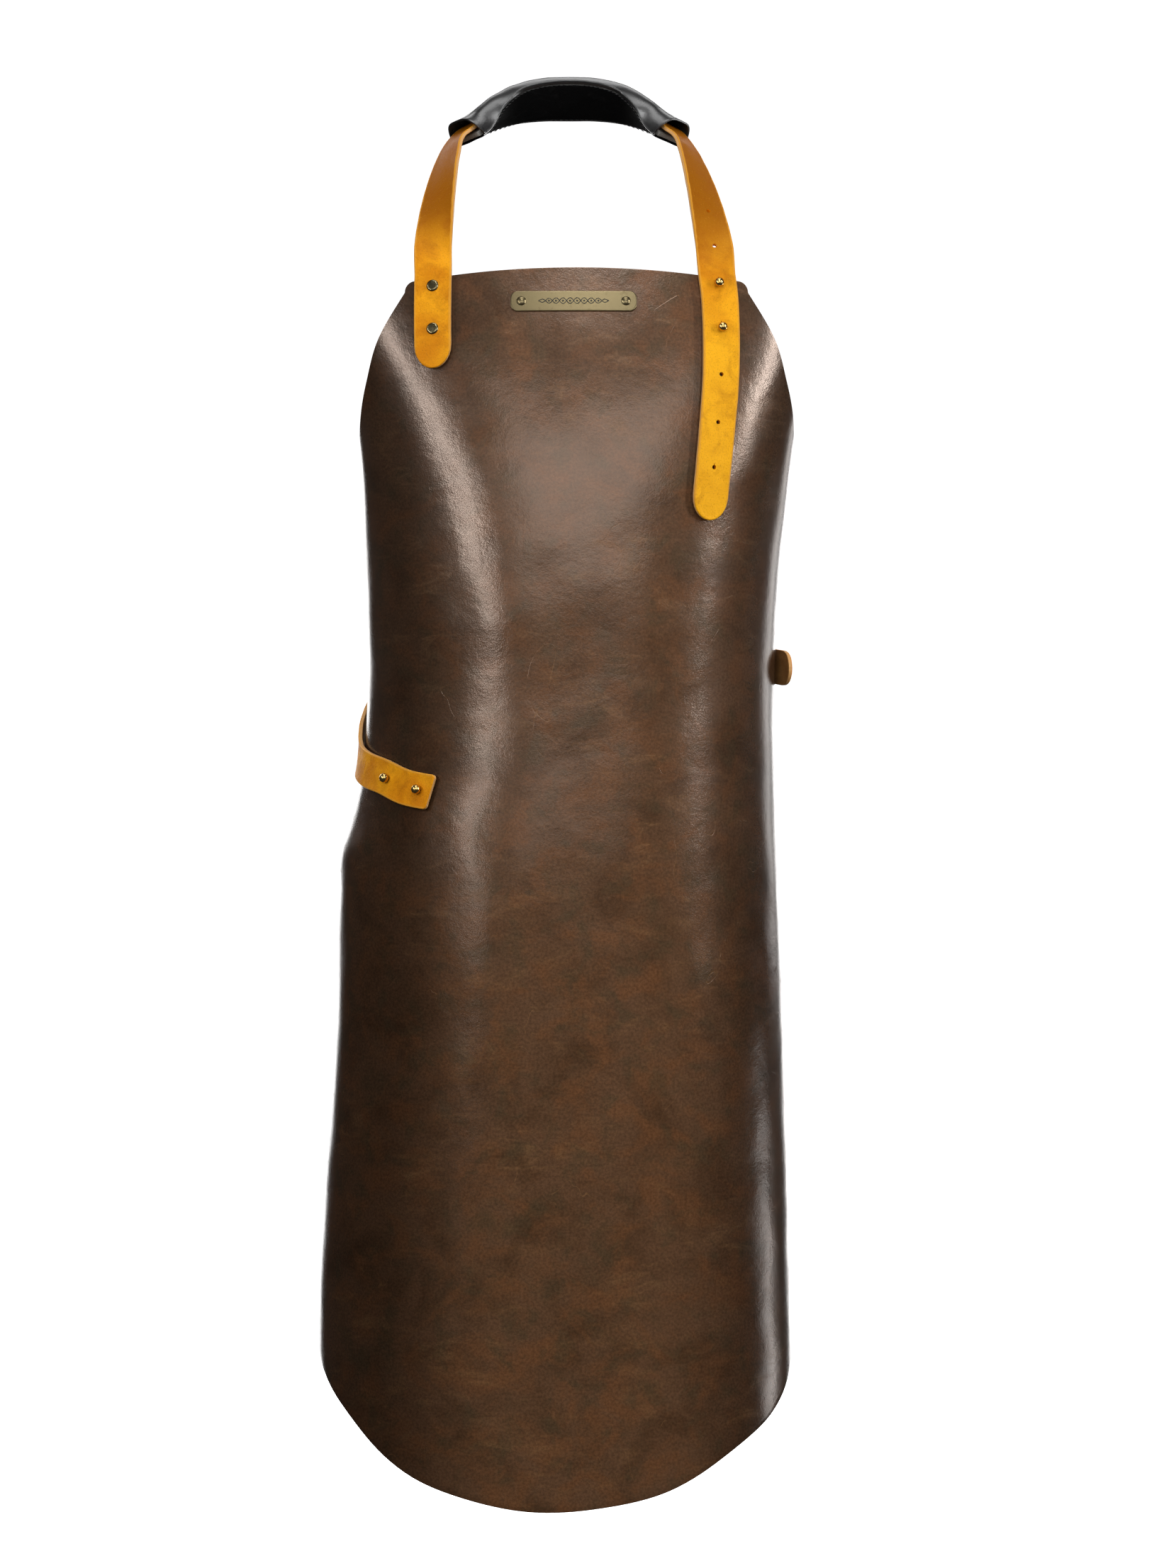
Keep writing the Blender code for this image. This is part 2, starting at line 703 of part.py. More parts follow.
def make_neck_strap(frames):
    half = NECK_HALF_WIDTH
    end = NECK.lengths[-1]
    left_rows = strap_rows(0, LEFT_FOLD - FOLD_GAP, half, PANEL_ROW_SPACING, start_corner=half)
    left = ribbon("neck_strap_left_end", NECK, left_rows, TAN)
    loop_rows = strap_rows(LEFT_FOLD, RIGHT_FOLD, half, FREE_ROW_SPACING)
    loop = ribbon("neck_strap_loop", NECK, loop_rows, TAN)
    right_rows = strap_rows(RIGHT_FOLD + FOLD_GAP, TAIL_START, half, PANEL_ROW_SPACING)
    right = ribbon("neck_strap_right_end", NECK, right_rows, TAN)
    tail_rows = strap_rows(TAIL_START + TOUCH_GAP, end, half, PANEL_ROW_SPACING, stop_corner=half)
    tail = ribbon("neck_strap_tail", NECK, tail_rows, TAN)
    cut(left, [
        hole_cutter(f"strap_hole_{key}", frame, HOLE_RADIUS)
        for (kind, key), frame in frames.items() if kind == "neck_rivet"
    ])
    cut(right, [
        hole_cutter(f"strap_hole_stud_{key}", frame, HOLE_RADIUS)
        for (kind, key), frame in frames.items() if kind == "neck_stud"
    ])
    cut(tail, [
        hole_cutter(f"tail_hole_{n}", NECK.frame(right_strap_length(down)), FREE_HOLE_RADIUS)
        for n, down in enumerate(FREE_HOLES_BELOW)
    ])
    cut(loop, [
        hole_cutter(f"loop_hole_{n}", NECK.frame(RIGHT_FOLD - rise), FREE_HOLE_RADIUS)
        for n, rise in enumerate(FREE_HOLES_ABOVE)
    ])


def right_strap_length(down):
    downs = BIB_PLACE.z - NECK.places[:, 2]
    right = NECK.lengths > RIGHT_FOLD
    return float(np.interp(down, downs[right], NECK.lengths[right]))


def make_belt(frames):
    hinge = belt_length(BELT_HINGE_TURN)
    half = BELT_HALF_WIDTH
    tab_rows = strap_rows(0, hinge - TOUCH_GAP, half, FREE_ROW_SPACING, start_corner=TAB_CORNER)
    tab = ribbon("waist_belt_tab", BELT, tab_rows, TAN)
    belt_rows = strap_rows(hinge, BELT.lengths[-1], half, FREE_ROW_SPACING, stop_corner=half)
    belt = ribbon("waist_belt", BELT, belt_rows, TAN)
    cut(tab, [
        cutter(f"tab_hole_{key}", frame @ Matrix.Translation((TAB_HOLE_SHIFT, 0, 0)), TAB_HOLE_HALF_SIZE)
        for (kind, key), frame in frames.items() if kind == "belt_stud"
    ])
    cut(belt, [
        hole_cutter(f"belt_hole_{key}", frame, HOLE_RADIUS)
        for (kind, key), frame in frames.items() if kind == "belt_rivet"
    ] + [hole_cutter("belt_free_hole", BELT.frame(belt_length(BELT_TAIL_HOLE_TURN)), FREE_HOLE_RADIUS)])


# ---- Neck pad ------------------------------------------------------------------------------------


def pad_width_factor(f):
    return 1 - PAD_END_TAPER * abs(f) ** 2.2


def pad_band(name, grid, section, look, thickness):
    """A band over the strap's middle stretch. section(g) gives offsets across and out of it."""
    reach = math.radians(PAD_HALF_ANGLE) * NECK_RADIUS

    def place(f, g):
        middle, out, across = NECK.at(PAD_MIDDLE + f * reach)
        aside, rise = section(g)
        return middle - across * (aside * pad_width_factor(f)) + out * rise

    return thicken(mapped_grid(name, *grid, place, look), thickness)


def make_pad():
    height = (PAD_TOP - PAD_BOTTOM) / 2
    level = (PAD_TOP + PAD_BOTTOM) / 2

    def cover_section(g):
        """Round the pad's outer side, from one lip on the neck's side to the other."""
        angle = math.radians(COVER_LIP + (180 - 2 * COVER_LIP) * g)
        wide, high = math.cos(angle), math.sin(angle)
        return (
            math.copysign(abs(wide) ** 0.55, wide) * PAD_HALF_WIDTH,
            level + math.copysign(abs(high) ** 0.75, high) * height,
        )

    def flat_section(half, rise):
        return lambda g: ((2 * g - 1) * half, rise)

    foam_section = flat_section(PAD_FOAM_HALF_WIDTH, PAD_FOAM_TOP)
    lining_section = flat_section(PAD_LINING_HALF_WIDTH, PAD_BOTTOM + PAD_LINING_THICK)
    pad_band("neck_pad_cover", PAD_COVER_GRID, cover_section, BLACK_LEATHER, PAD_COVER_THICK)
    pad_band("neck_pad_foam", PAD_FLAT_GRID, foam_section, FOAM, PAD_FOAM_TOP - PAD_FOAM_BOTTOM)
    pad_band("neck_pad_lining", PAD_FLAT_GRID, lining_section, SUEDE, PAD_LINING_THICK)


bib_panel, skirt_panel = make_panel()
fastener_frames = make_fasteners(bib_panel)
make_name_plate(fastener_frames)
make_neck_strap(fastener_frames)
make_belt(fastener_frames)
make_pad()
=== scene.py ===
"""The looks of the leather butcher apron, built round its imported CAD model.

Metres, +Z up, the front faces -Y. Left and right are as seen by someone facing the apron.
"Down" is measured down the hide from the top of the bib. "Across" is measured along the hide, round the
wearer, from the centre front to the right. "Turn" is the angle round the wearer of the same walk.
"Lift" is how far a point stands off the form that the panel's outer face lies on.
"""

import math

import bmesh
import bpy
import numpy as np
from mathutils import Matrix, Vector


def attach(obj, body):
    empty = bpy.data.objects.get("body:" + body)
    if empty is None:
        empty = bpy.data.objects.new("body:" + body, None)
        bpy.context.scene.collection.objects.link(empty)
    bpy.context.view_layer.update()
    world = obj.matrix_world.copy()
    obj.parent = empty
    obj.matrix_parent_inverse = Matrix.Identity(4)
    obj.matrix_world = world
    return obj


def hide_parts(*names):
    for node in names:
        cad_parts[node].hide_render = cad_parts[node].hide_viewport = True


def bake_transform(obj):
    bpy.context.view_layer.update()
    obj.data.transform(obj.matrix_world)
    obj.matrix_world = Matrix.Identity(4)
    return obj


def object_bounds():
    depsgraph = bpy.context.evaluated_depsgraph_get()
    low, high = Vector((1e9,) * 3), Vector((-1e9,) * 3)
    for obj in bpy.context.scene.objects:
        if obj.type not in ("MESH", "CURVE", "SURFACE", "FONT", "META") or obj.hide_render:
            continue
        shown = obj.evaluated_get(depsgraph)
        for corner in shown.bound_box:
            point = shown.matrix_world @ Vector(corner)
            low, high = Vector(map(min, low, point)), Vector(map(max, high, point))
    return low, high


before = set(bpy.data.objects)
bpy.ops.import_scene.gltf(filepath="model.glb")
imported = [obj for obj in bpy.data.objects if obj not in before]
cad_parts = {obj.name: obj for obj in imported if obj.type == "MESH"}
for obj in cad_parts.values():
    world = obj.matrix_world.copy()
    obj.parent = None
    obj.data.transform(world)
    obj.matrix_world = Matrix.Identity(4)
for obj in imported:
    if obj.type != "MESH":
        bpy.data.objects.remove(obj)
CAD_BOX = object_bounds()

# ---- Driving sizes. All but the pad's are the CAD model's ----

PANEL_THICK = 0.0024
PANEL_HALF_WIDTH = 0.300
PANEL_LENGTH = 0.863
BIB_CROWN = 0.0085
BIB_CORNER = 0.008
SIDE_CORNER = 0.012
ARMHOLE = (
    (0.0165, 0.1215), (0.050, 0.1435), (0.080, 0.1570),
    (0.115, 0.1780), (0.170, 0.2240), (0.250, 0.3000),
)

# The form that the hide is wrapped on: down, half width, half depth, centre x, front y.
FORM = (
    (0.000, 0.1720, 0.048, 0.0000, 0.028),
    (0.060, 0.1630, 0.060, 0.0000, 0.013),
    (0.115, 0.1545, 0.077, 0.0000, 0.004),
    (0.210, 0.1480, 0.102, -0.0028, 0.000),
    (0.310, 0.1460, 0.113, -0.0043, 0.003),
    (0.360, 0.1490, 0.116, -0.0064, 0.003),
    (0.410, 0.1555, 0.118, -0.0112, 0.001),
    (0.530, 0.1600, 0.119, -0.0117, -0.002),
    (0.730, 0.1690, 0.124, -0.0155, -0.004),
    (0.880, 0.1710, 0.126, -0.0130, -0.006),
)
BIB_PLACE = np.array((0.0055, -0.1265, -0.1304))

STRAP_THICK = 0.003
STRAP_LIFT = 0.0016
NECK_HALF_WIDTH = 0.01325
BELT_HALF_WIDTH = 0.0125
TOUCH_GAP = 0.0003

# The neck strap's middle line on the bib: down, across.
LEFT_STRAP_LINE = ((0.004, -0.1000), (0.020, -0.1003), (0.0715, -0.1000))
RIGHT_STRAP_LINE = (
    (0.004, 0.0978), (0.020, 0.0998), (0.045, 0.1010), (0.080, 0.1008),
    (0.112, 0.0987), (0.145, 0.0966), (0.177, 0.0950),
)
ON_PANEL_STEP = 0.006

# The free neck loop: half span, y and z from the bib's place, and the grain face's turn in degrees.
LOOP_KEYS = (
    (0.0988, 0.0380, 0.0120, 2.0),
    (0.0984, 0.0415, 0.0200, 10.0),
    (0.0965, 0.0510, 0.0380, 24.0),
    (0.0930, 0.0675, 0.0620, 40.0),
    (0.0885, 0.0860, 0.0835, 55.0),
    (0.0832, 0.0995, 0.0987, 63.0),
)
LOOP_LEAN = -0.0055
LOOP_LEAN_AT_BIB = -0.0012
LOOP_LEAN_HEIGHT = 0.100

# The arc over the back of the neck.
NECK_RADIUS = 0.091
NECK_TOP = np.array((0.0, 0.133, 0.138))
NECK_UP = np.array((0.0, 0.65, 0.76)) / np.hypot(0.65, 0.76)
NECK_SHOULDER = 0.0030
NECK_ARC = 52.0
NECK_ARC_STEP = 13.0
NECK_TURN_MID = 130.5
NECK_TURN_END = 72.0

# The neck pad: a little longer than the CAD model's, and wider at its mouths.
PAD_HALF_ANGLE = 57.5
PAD_HALF_WIDTH = 0.0195
PAD_GIRTH = 0.06
PAD_END_WIDENING = 0.05
PAD_COVER_THICK = 0.0013
COVER_LIP = 222.0
PAD_TOP = 0.0048
PAD_MOUTH_FLARE = 0.0038
PAD_EDGE = -0.0078
PAD_BOTTOM = -0.0102
PAD_LINING_HALF_WIDTH = 0.0157
PAD_LINING_THICK = 0.0010
PAD_FOAM_HALF_WIDTH = 0.0142
PAD_FOAM_TOP = -0.0050
PAD_FOAM_BOTTOM = -0.0085

# The belt's middle line: turn in degrees, down, lift.
BELT_LINE = (
    (-37.5, 0.3672, STRAP_LIFT), (-48.0, 0.3632, STRAP_LIFT), (-58.0, 0.3562, STRAP_LIFT),
    (-72.0, 0.3500, STRAP_LIFT), (-88.0, 0.3400, STRAP_LIFT), (-103.0, 0.3180, 0.0030),
    (-116.0, 0.2965, 0.0030), (-130.0, 0.2830, 0.0022), (-150.0, 0.2750, STRAP_LIFT),
    (-180.0, 0.2715, STRAP_LIFT), (-215.0, 0.2720, STRAP_LIFT), (-240.0, 0.2735, STRAP_LIFT),
    (-255.0, 0.2750, STRAP_LIFT), (-265.0, 0.2765, 0.0022), (-271.0, 0.2775, 0.0060),
    (-277.0, 0.2785, 0.0110),
)
BELT_STEP = 3.5
BELT_HINGE_TURN = -72.0
BELT_STUD_TURNS = {"front": -42.4, "rear": -56.0}
BELT_RIVET_TURNS = {"front": -259.5, "rear": -246.0}
BELT_TAIL_HOLE_TURN = -101.0

# Fasteners on the bib: down, across.
NECK_RIVETS = {"upper": (0.0135, -0.1002), "lower": (0.0440, -0.1001)}
NECK_STUDS = {"upper": (0.0122, 0.0988), "lower": (0.0435, 0.1010)}
PLATE_RIVETS = {"left": (0.0245, -0.0383), "right": (0.0245, 0.0345)}
FREE_HOLES_BELOW = (0.0755, 0.1090, 0.1405)
FREE_HOLES_ABOVE = (0.0050, 0.0350)
TAIL_HINGE = (0.0600, 0.1010)
FOLD_DOWN = 0.392

PLATE_MIDDLE = (0.0245, -0.0019)
PLATE_HALF_LENGTH = 0.0440
PLATE_HALF_HEIGHT = 0.0072
PLATE_CORNER = 0.0050
PLATE_THICK = 0.0010

BALL_RADIUS = 0.0034
STUD_NECK_RADIUS = 0.0017
FLANGE_RADIUS = 0.0044
FLANGE_THICK = 0.0010
CAP_RADIUS = 0.0043
CAP_HEIGHT = 0.0013
SMALL_CAP_RADIUS = 0.0034
BACK_CAP_RADIUS = 0.0045
BACK_GAP = 0.0009
FREE_HOLE_RADIUS = 0.0015
STUD_HOLE_RADIUS = 0.0024

TURNED_STEPS = 40


# ---- Curves and surfaces ----


def unit(vectors):
    return vectors / np.linalg.norm(vectors, axis=-1, keepdims=True)


def smooth(table, at):
    """Every later column of a table of stations, read at values of its first column on a smooth curve."""
    table = np.asarray(table, dtype=float)
    keys, values = table[:, 0], table[:, 1:]
    slopes = np.gradient(values, keys, axis=0)
    index = np.clip(np.searchsorted(keys, at) - 1, 0, len(keys) - 2)
    span = (keys[index + 1] - keys[index])[..., None]
    f = np.clip((np.asarray(at) - keys[index])[..., None] / span, 0.0, 1.0)
    return (
        values[index] * (1 + 2 * f) * (1 - f) ** 2
        + slopes[index] * span * f * (1 - f) ** 2
        + values[index + 1] * f * f * (3 - 2 * f)
        + slopes[index + 1] * span * f * f * (f - 1)
    )


def fade(value, low, high):
    """0 below low, 1 above high, and smooth between them."""
    f = np.clip((value - low) / (high - low), 0.0, 1.0)
    return f * f * (3 - 2 * f)


def bump_at(value, middle, width):
    return np.exp(-(((value - middle) / width) ** 2))


def waves(x, y, seed, length, count=9):
    """Soft random hills of about that wavelength, between about -1 and 1."""
    dice = np.random.default_rng(seed)
    total = 0.0
    for _ in range(count):
        angle = dice.uniform(0, 2 * math.pi)
        pace = 2 * math.pi / (length * dice.uniform(0.7, 1.6))
        total = total + np.sin(pace * (x * math.cos(angle) + y * math.sin(angle)) + dice.uniform(0, 7))
    return total / math.sqrt(2 * count)


GAUSS_PLACES, GAUSS_WEIGHTS = np.polynomial.legendre.leggauss(24)
MOST_TURN_STEP = 0.4


def turn_at(across, down):
    """The angle round the form's ellipse that lies a given length across the leather."""
    across, down = np.broadcast_arrays(np.asarray(across, float), np.asarray(down, float))
    wide, deep = np.moveaxis(smooth(FORM, down)[..., :2], -1, 0)
    turn = across / wide
    for _ in range(16):
        spots = turn[..., None] * (GAUSS_PLACES + 1) / 2
        pace = np.hypot(wide[..., None] * np.cos(spots), deep[..., None] * np.sin(spots))
        length = (pace @ GAUSS_WEIGHTS) * turn / 2
        step = (length - across) / np.hypot(wide * np.cos(turn), deep * np.sin(turn))
        turn = turn - np.clip(step, -MOST_TURN_STEP, MOST_TURN_STEP)
    return turn


def form_face(turn, down):
    turn, down = np.broadcast_arrays(np.asarray(turn, float), np.asarray(down, float))
    wide, deep, centre, front = np.moveaxis(smooth(FORM, down), -1, 0)
    x = centre + wide * np.sin(turn)
    y = front + deep * (1 - np.cos(turn))
    return BIB_PLACE + np.stack((x, y, -down), axis=-1)


def form_normal(turn, down):
    step = 1e-4
    along = form_face(turn + step, down) - form_face(turn - step, down)
    under = form_face(turn, down + step) - form_face(turn, down - step)
    return unit(np.cross(under, along))


def panel_point(across, down, lift=0.0):
    turn = turn_at(across, down)
    return form_face(turn, down) + form_normal(turn, down) * np.asarray(lift)[..., None]


def turned_frame(place, out, up=(0, 0, 1)):
    """A matrix at a place, with Z along out and Y as near to up as it can be."""
    out = Vector(out).normalized()
    side = Vector(up).cross(out).normalized()
    made = Matrix((side, out.cross(side), out)).transposed().to_4x4()
    made.translation = Vector(place)
    return made


def panel_frame(across, down):
    turn = turn_at(across, down)
    return turned_frame(form_face(turn, down), form_normal(turn, down))


def bib_half_width(down):
    """Half of the flat hide's width: a rounded corner, the armhole's curve, then a straight side."""
    top, half_width = ARMHOLE[0]
    rise = np.clip((top - down) / BIB_CORNER, 0.0, 1.0)
    corner = half_width - BIB_CORNER * (1 - np.sqrt(1 - rise * rise))
    curve = smooth(ARMHOLE, down)[..., 0]
    reach = np.maximum(SIDE_CORNER - np.abs(curve - PANEL_HALF_WIDTH), 0.0)
    side = np.minimum(curve, PANEL_HALF_WIDTH) - reach * reach / (4 * SIDE_CORNER)
    side = np.where(down > ARMHOLE[-1][0], PANEL_HALF_WIDTH - SIDE_CORNER / 4 * (1 - fade(
        down, ARMHOLE[-1][0], ARMHOLE[-1][0] + SIDE_CORNER)), side)
    return np.where(down < top, corner, side)


# Where the hem is cut flatter: how much, across, width.
HEM_CUTS = ((0.0090, -0.170, 0.050), (0.0065, 0.140, 0.045))
HEM_WAVER = 0.0011


def hem_down(across):
    """The half round hem, cut a little flatter at the shoulders of its curve and not quite evenly."""
    reach = np.sqrt(np.maximum(PANEL_HALF_WIDTH**2 - across**2, 0.0))
    flatter = sum(much * bump_at(across, middle, width) for much, middle, width in HEM_CUTS)
    uneven = HEM_WAVER * waves(across, 0.0, 5, 0.11, 5)
    return PANEL_LENGTH - PANEL_HALF_WIDTH + reach - flatter + uneven * fade(reach, 0.0, 0.08)


class Path:
    """A strap's middle line on its grain face: places and outward directions, read by length."""

    def __init__(self, places, outs):
        marks = np.arange(len(places))
        self.marks = np.linspace(0, len(places) - 1, 8 * (len(places) - 1) + 1)
        table = np.column_stack((marks, np.array(places), np.array(outs)))
        samples = smooth(table, self.marks)
        self.places = samples[:, :3]
        self.outs = samples[:, 3:]
        gaps = np.linalg.norm(np.diff(self.places, axis=0), axis=1)
        self.lengths = np.concatenate(([0.0], np.cumsum(gaps)))

    def read(self, values, length):
        return np.stack([np.interp(length, self.lengths, values[:, k]) for k in range(3)], axis=-1)

    def length_at(self, mark):
        return float(np.interp(mark, self.marks, self.lengths))

    def length_near(self, place):
        return float(self.lengths[np.argmin(np.linalg.norm(self.places - place, axis=1))])

    def at(self, length):
        """Place, outward direction and the direction across the strap."""
        step = 0.0008
        ahead = self.read(self.places, length + step) - self.read(self.places, length - step)
        across = unit(np.cross(self.read(self.outs, length), ahead))
        return self.read(self.places, length), unit(np.cross(ahead, across)), across

    def frame(self, length):
        place, out, across = self.at(length)
        return turned_frame(place, out, np.cross(out, across))


def neck_path():
    """The whole neck strap, left tip to right tip, and the marks of its folds and its middle."""
    places, outs = [], []

    def on_panel(line, backwards=False):
        count = round((line[-1][0] - line[0][0]) / ON_PANEL_STEP) + 1
        downs = np.linspace(line[0][0], line[-1][0], count)
        for down in reversed(downs) if backwards else downs:
            turn = turn_at(smooth(line, down)[0], down)
            out = form_normal(turn, down)
            places.append(form_face(turn, down) + out * (STRAP_LIFT + STRAP_THICK))
            outs.append(out)

    def free(x, y, z, degrees, ahead):
        lean = LOOP_LEAN_AT_BIB + (LOOP_LEAN - LOOP_LEAN_AT_BIB) * min(z / LOOP_LEAN_HEIGHT, 1.0)
        places.append(BIB_PLACE + np.array((x + lean, y, z)))
        forward = np.array((0.0, -1.0, 0.0))
        facing = unit(forward - ahead * (forward @ ahead))
        angle = math.radians(degrees)
        outs.append(facing * math.cos(angle) + np.cross(facing, ahead) * math.sin(angle))

    def loop_half(side):
        """The free strap on one side, bottom to top on the left (-1), top to bottom on the right."""
        points = np.array([(side * x, y, z) for x, y, z, _ in LOOP_KEYS])
        keys = list(range(len(points)))
        for key in keys if side < 0 else reversed(keys):
            ahead = points[min(key + 1, keys[-1])] - points[max(key - 1, 0)]
            free(*points[key], LOOP_KEYS[key][3], unit(ahead * -side))

    marks = {}
    on_panel(LEFT_STRAP_LINE, backwards=True)
    marks["left_fold"] = len(places)
    loop_half(-1)
    marks["middle"] = len(places) + NECK_ARC / NECK_ARC_STEP
    centre = NECK_TOP - NECK_UP * NECK_RADIUS
    for degrees in np.arange(-NECK_ARC, NECK_ARC + 1, NECK_ARC_STEP):
        angle = math.radians(degrees)
        reach = abs(degrees) / NECK_ARC
        radius = NECK_RADIUS + NECK_SHOULDER * math.sin(math.pi * reach) ** 2
        spot = centre + radius * (np.array((math.sin(angle), 0, 0)) + NECK_UP * math.cos(angle))
        ahead = np.array((math.cos(angle), 0, 0)) - NECK_UP * math.sin(angle)
        free(*spot, NECK_TURN_MID + (NECK_TURN_END - NECK_TURN_MID) * reach * reach, ahead)
    loop_half(1)
    marks["right_fold"] = len(places) - 1
    on_panel(RIGHT_STRAP_LINE)
    return Path(places, outs), marks


BELT_TURNS = np.arange(BELT_LINE[0][0], BELT_LINE[-1][0] - 1, -BELT_STEP)


def belt_path():
    table = [(-degrees, down, lift) for degrees, down, lift in BELT_LINE]
    down, lift = np.moveaxis(smooth(table, -BELT_TURNS), -1, 0)
    turns = np.radians(BELT_TURNS)
    outs = form_normal(turns, down)
    return Path(form_face(turns, down) + outs * (lift + STRAP_THICK)[:, None], outs)


NECK, NECK_MARKS = neck_path()
LEFT_FOLD = NECK.length_at(NECK_MARKS["left_fold"])
RIGHT_FOLD = NECK.length_at(NECK_MARKS["right_fold"])
PAD_MIDDLE = NECK.length_at(NECK_MARKS["middle"])
TAIL_START = NECK.length_near(panel_point(TAIL_HINGE[1], TAIL_HINGE[0], STRAP_LIFT + STRAP_THICK))
BELT = belt_path()


def belt_length(degrees):
    return BELT.length_at((BELT_TURNS[0] - degrees) / BELT_STEP)


# ---- Mesh tools ----

LEATHER_CREASE = 38
METAL_CREASE = 45
CUT_EDGE_ANGLE = math.radians(50)


def add_object(name, data):
    made = bpy.data.objects.new(name, data)
    bpy.context.scene.collection.objects.link(made)
    return made


def new_piece(name, bm, materials=()):
    mesh = bpy.data.meshes.new(name)
    bm.to_mesh(mesh)
    bm.free()
    for material in materials:
        mesh.materials.append(material)
    return add_object(name, mesh)


def shade(piece, crease=LEATHER_CREASE):
    """Shades a piece smooth, but for creases sharper than that angle in degrees."""
    piece.data.shade_smooth()
    piece.data.set_sharp_from_angle(angle=math.radians(crease))
    return piece


def settle(piece, crease=LEATHER_CREASE):
    """Makes the piece's modifiers part of its mesh."""
    seen = piece.evaluated_get(bpy.context.evaluated_depsgraph_get())
    old = piece.data
    piece.data = bpy.data.meshes.new_from_object(seen)
    piece.modifiers.clear()
    bpy.data.meshes.remove(old)
    return shade(piece, crease)


def laid_grid(name, columns, rows, place, materials):
    """A grid primitive laid on a surface.

    place(f, g) takes arrays, f from -1 to 1 and g from 0 at the top to 1, and gives every point's place
    and its place on the flat leather, which becomes the UV map, in metres.
    """
    bm = bmesh.new()
    bmesh.ops.create_grid(bm, x_segments=columns, y_segments=rows, size=1)
    spots = np.array([(vert.co.x, (1 - vert.co.y) / 2) for vert in bm.verts])
    places, flats = place(spots[:, 0], spots[:, 1])
    layer = bm.loops.layers.uv.new("flat")
    for vert, spot in zip(bm.verts, places):
        vert.co = spot
    for face in bm.faces:
        for loop in face.loops:
            loop[layer].uv = flats[loop.vert.index]
    return new_piece(name, bm, materials)


def thicken(piece, thickness, inner=0, rim=0):
    modifier = piece.modifiers.new("thickness", "SOLIDIFY")
    modifier.thickness = thickness
    modifier.offset = -1
    modifier.use_even_offset = True
    modifier.material_offset = inner
    modifier.material_offset_rim = rim
    return settle(piece)


def round_cut_edges(piece, width):
    bm = bmesh.new()
    bm.from_mesh(piece.data)
    edges = [edge for edge in bm.edges
             if len(edge.link_faces) == 2 and edge.calc_face_angle(0) >= CUT_EDGE_ANGLE]
    bmesh.ops.bevel(bm, geom=edges, offset=width, segments=2, profile=0.5, affect="EDGES",
                    clamp_overlap=True)
    bm.to_mesh(piece.data)
    bm.free()
    shade(piece)


CUT_DEPTH = 0.02
CUTTER_SIDES = 24
SLIT_WIDTH = 0.0005


def round_cutter(frame_at, radius):
    bm = bmesh.new()
    bmesh.ops.create_cone(
        bm, cap_ends=True, segments=CUTTER_SIDES, radius1=1, radius2=1, depth=CUT_DEPTH,
        matrix=Matrix.Diagonal((radius, radius, 1, 1)),
    )
    bmesh.ops.transform(bm, matrix=frame_at, verts=bm.verts)
    return new_piece("cutter", bm)


def box_cutter(frame_at, size, middle):
    bm = bmesh.new()
    bmesh.ops.create_cube(bm, size=1, matrix=Matrix.Diagonal((*size, 1)))
    bmesh.ops.transform(bm, matrix=frame_at @ Matrix.Translation(middle), verts=bm.verts)
    return new_piece("cutter", bm)


def cut(piece, cutters):
    for tool in cutters:
        modifier = piece.modifiers.new("cut", "BOOLEAN")
        modifier.operation = "DIFFERENCE"
        modifier.solver = "EXACT"
        modifier.object = tool
    settle(piece)
    for tool in cutters:
        bpy.data.objects.remove(tool)
    return piece


def turned(name, profile, frame_at, material, steps=TURNED_STEPS):
    """A lathe-turned piece: its profile is radius and height, from the top down the outer side."""
    bm = bmesh.new()
    verts = [bm.verts.new((radius, 0, height)) for radius, height in profile]
    for upper, lower in zip(verts, verts[1:]):
        bm.edges.new((upper, lower))
    made = new_piece(name, bm, [material])
    screw = made.modifiers.new("turn", "SCREW")
    screw.steps = steps
    screw.render_steps = steps
    screw.use_merge_vertices = True
    screw.merge_threshold = 0.00001
    settle(made, METAL_CREASE)
    made.data.transform(frame_at)
    return made


# ---- Material tools ----


